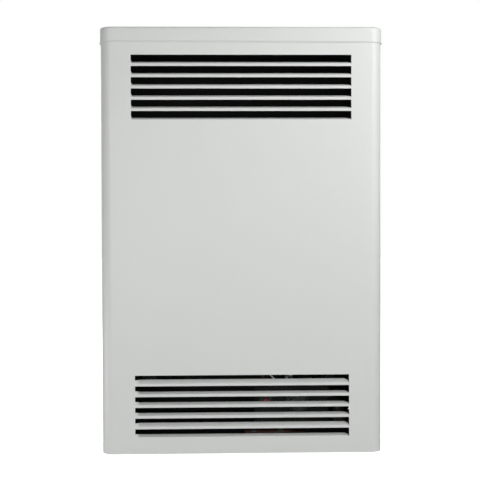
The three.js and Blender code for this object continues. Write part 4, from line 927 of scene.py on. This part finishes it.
@dataclass
class KeptNodes:
    """The CAD pieces whose shape is right: each gets its finish."""

    replaced: Sequence[str] = ("front_jacket", "top_cap")

    def build(self) -> None:
        """Dresses every kept node by its name, or else by its slot in the record."""
        slots = {part["node"]: part["material_slot"] for part in frame["record"]["subparts"]}
        for name, node in frame["nodes"].items():
            if name in self.replaced:
                continue
            material = FINISH_OF_NODE.get(name, FINISH_OF_SLOT[slots[name]]).material()
            node.data.materials.clear()
            node.data.materials.append(material)
            log.info("%s: kept, %s", name, material.name)


# ---- Stage ---------------------------------------------------------------------------------------


@dataclass(frozen=True)
class Lamp:
    """A soft box that points at the heater."""

    name: str
    position: tuple[float, float, float]  # metres
    size: tuple[float, float]  # metres
    power: float  # watts
    target: tuple[float, float, float] = (0.0, -0.2, 0.0)

    def build(self) -> bpy.types.Object:
        """Places the lamp and turns it to its target."""
        light = bpy.data.lights.new(self.name, "AREA")
        light.shape = "RECTANGLE"
        light.size, light.size_y = self.size
        light.energy = self.power
        lamp = bpy.data.objects.new(self.name, light)
        lamp.location = self.position
        aim = Vector(self.target) - Vector(self.position)
        lamp.rotation_euler = aim.to_track_quat("-Z", "Y").to_euler()
        bpy.context.scene.collection.objects.link(lamp)
        return lamp


@dataclass
class Studio:
    """The pale floor, the soft boxes, the surrounding white and the camera."""

    floor_drop: float = 160.0  # the floor lies this far below the heater, which hangs on its wall
    floor_half: float = 12.0  # metres
    ambient: float = 0.08
    reflected: float = 0.6  # how bright the surrounding white is in reflections
    lamps: tuple[Lamp, ...] = (
        Lamp("front_box", (-0.4, -2.8, 0.1), (1.0, 0.8), 15.5),
        Lamp("low_box", (0.6, -2.6, 0.15), (1.2, 0.8), 3.6),
        Lamp("right_box", (1.0, -1.2, 0.45), (0.5, 0.5), 4.3),
        Lamp("corner_box", (0.6, -0.75, 0.6), (0.3, 0.3), 2.2),
        Lamp("left_low_box", (-1.1, -0.5, -0.35), (0.4, 0.25), 2.6),
        Lamp("side_box", (3.0, -2.0, 0.2), (1.0, 1.3), 6.3),
        Lamp("top_box", (0.0, -1.4, 2.4), (2.0, 1.2), 3.0),
        Lamp("rear_box", (-1.2, 2.4, 1.2), (1.6, 1.6), 26.0),
    )
    eye: tuple[float, float, float] = (-38.8, -1777.0, 382.7)
    yaw: float = 1.364  # degrees, like the next two
    pitch: float = -1.169
    roll: float = -0.191
    picture: float = 480.0  # the photograph's width in pixels
    focal: float = 909.9  # in those pixels
    sensor: float = 36.0

    def build_camera(self) -> None:
        """Sets the camera at the photograph's viewpoint."""
        yaw, pitch, roll = (math.radians(a) for a in (self.yaw, self.pitch, self.roll))
        ahead = Vector((math.sin(yaw) * math.cos(pitch), math.cos(yaw) * math.cos(pitch),
                        math.sin(pitch)))
        right = ahead.cross(Vector((0, 0, 1))).normalized()
        up = right.cross(ahead)
        across = right * math.cos(roll) + up * math.sin(roll)
        upright = up * math.cos(roll) - right * math.sin(roll)
        lens = bpy.data.cameras.new("camera")
        lens.sensor_width = self.sensor
        lens.lens = self.focal * lens.sensor_width / self.picture
        lens.clip_end = 50.0  # metres
        camera = bpy.data.objects.new("camera", lens)
        turn = Matrix((across, upright, -ahead)).transposed().to_4x4()
        camera.matrix_world = Matrix.Translation(place(*self.eye)) @ turn
        bpy.context.scene.collection.objects.link(camera)
        bpy.context.scene.camera = camera

    def build_floor(self) -> None:
        """Lays the pale floor, which stays white around the heater's shadow."""
        mesh = bmesh.new()
        bmesh.ops.create_grid(mesh, x_segments=2, y_segments=2, size=self.floor_half)
        level = place(0, 0, -self.floor_drop).z
        bmesh.ops.translate(mesh, vec=(0.0, 0.0, level), verts=mesh.verts)
        material = bpy.data.materials.new("pale_floor")
        material.use_nodes = True
        tree = material.node_tree
        tree.nodes.clear()
        cloth = add_node(tree, "ShaderNodeBsdfDiffuse", None, {"Color": linear("#F4F4F3")})
        rays = add_node(tree, "ShaderNodeLightPath")
        glow = add_node(tree, "ShaderNodeEmission", None, {
            "Color": linear("#FFFFFF"), "Strength": rays.outputs["Is Camera Ray"]})
        both = add_node(tree, "ShaderNodeAddShader", None, {
            0: cloth.outputs["BSDF"], 1: glow.outputs["Emission"]})
        add_node(tree, "ShaderNodeOutputMaterial", None, {"Surface": both.outputs["Shader"]})
        finish_piece("floor", mesh, material)

    def build_world(self) -> None:
        """Surrounds the heater with even light that camera, reflections and glass see as white."""
        world = bpy.data.worlds.new("studio")
        world.use_nodes = True
        tree = world.node_tree
        tree.nodes.clear()
        rays = add_node(tree, "ShaderNodeLightPath").outputs

        def larger(first: bpy.types.NodeSocket,
                   second: bpy.types.NodeSocket | float) -> bpy.types.NodeSocket:
            """Gives the larger of two levels."""
            node = add_node(tree, "ShaderNodeMath", {"operation": "MAXIMUM"}, {0: first, 1: second})
            return node.outputs["Value"]

        soft = add_node(tree, "ShaderNodeBackground", None, {
            "Color": linear("#FFFFFF"), "Strength": self.ambient})
        white = add_node(tree, "ShaderNodeBackground", None, {
            "Color": linear("#FFFFFF"), "Strength": larger(rays["Is Camera Ray"], self.reflected)})
        seen = larger(rays["Is Camera Ray"], rays["Is Glossy Ray"])
        either = add_node(tree, "ShaderNodeMixShader", None, {
            0: larger(seen, rays["Is Transmission Ray"]),
            1: soft.outputs["Background"], 2: white.outputs["Background"]})
        add_node(tree, "ShaderNodeOutputWorld", None, {"Surface": either.outputs["Shader"]})
        bpy.context.scene.world = world

    def build(self) -> None:
        """Builds the whole stage."""
        self.build_camera()
        self.build_floor()
        self.build_world()
        for lamp in self.lamps:
            lamp.build()
        bpy.context.scene.view_settings.view_transform = "Standard"


def main() -> None:
    """Builds the heater's looks and its stage, and writes how big it came out."""
    logging.basicConfig(level=logging.INFO, format="%(name)s: %(message)s")
    for group in (Studio(), KeptNodes(), Casing(), EdgeTrim(), WallScrews()):
        log.info("building %s", type(group).__name__)
        group.build()


if __name__ == "__main__":
    main()
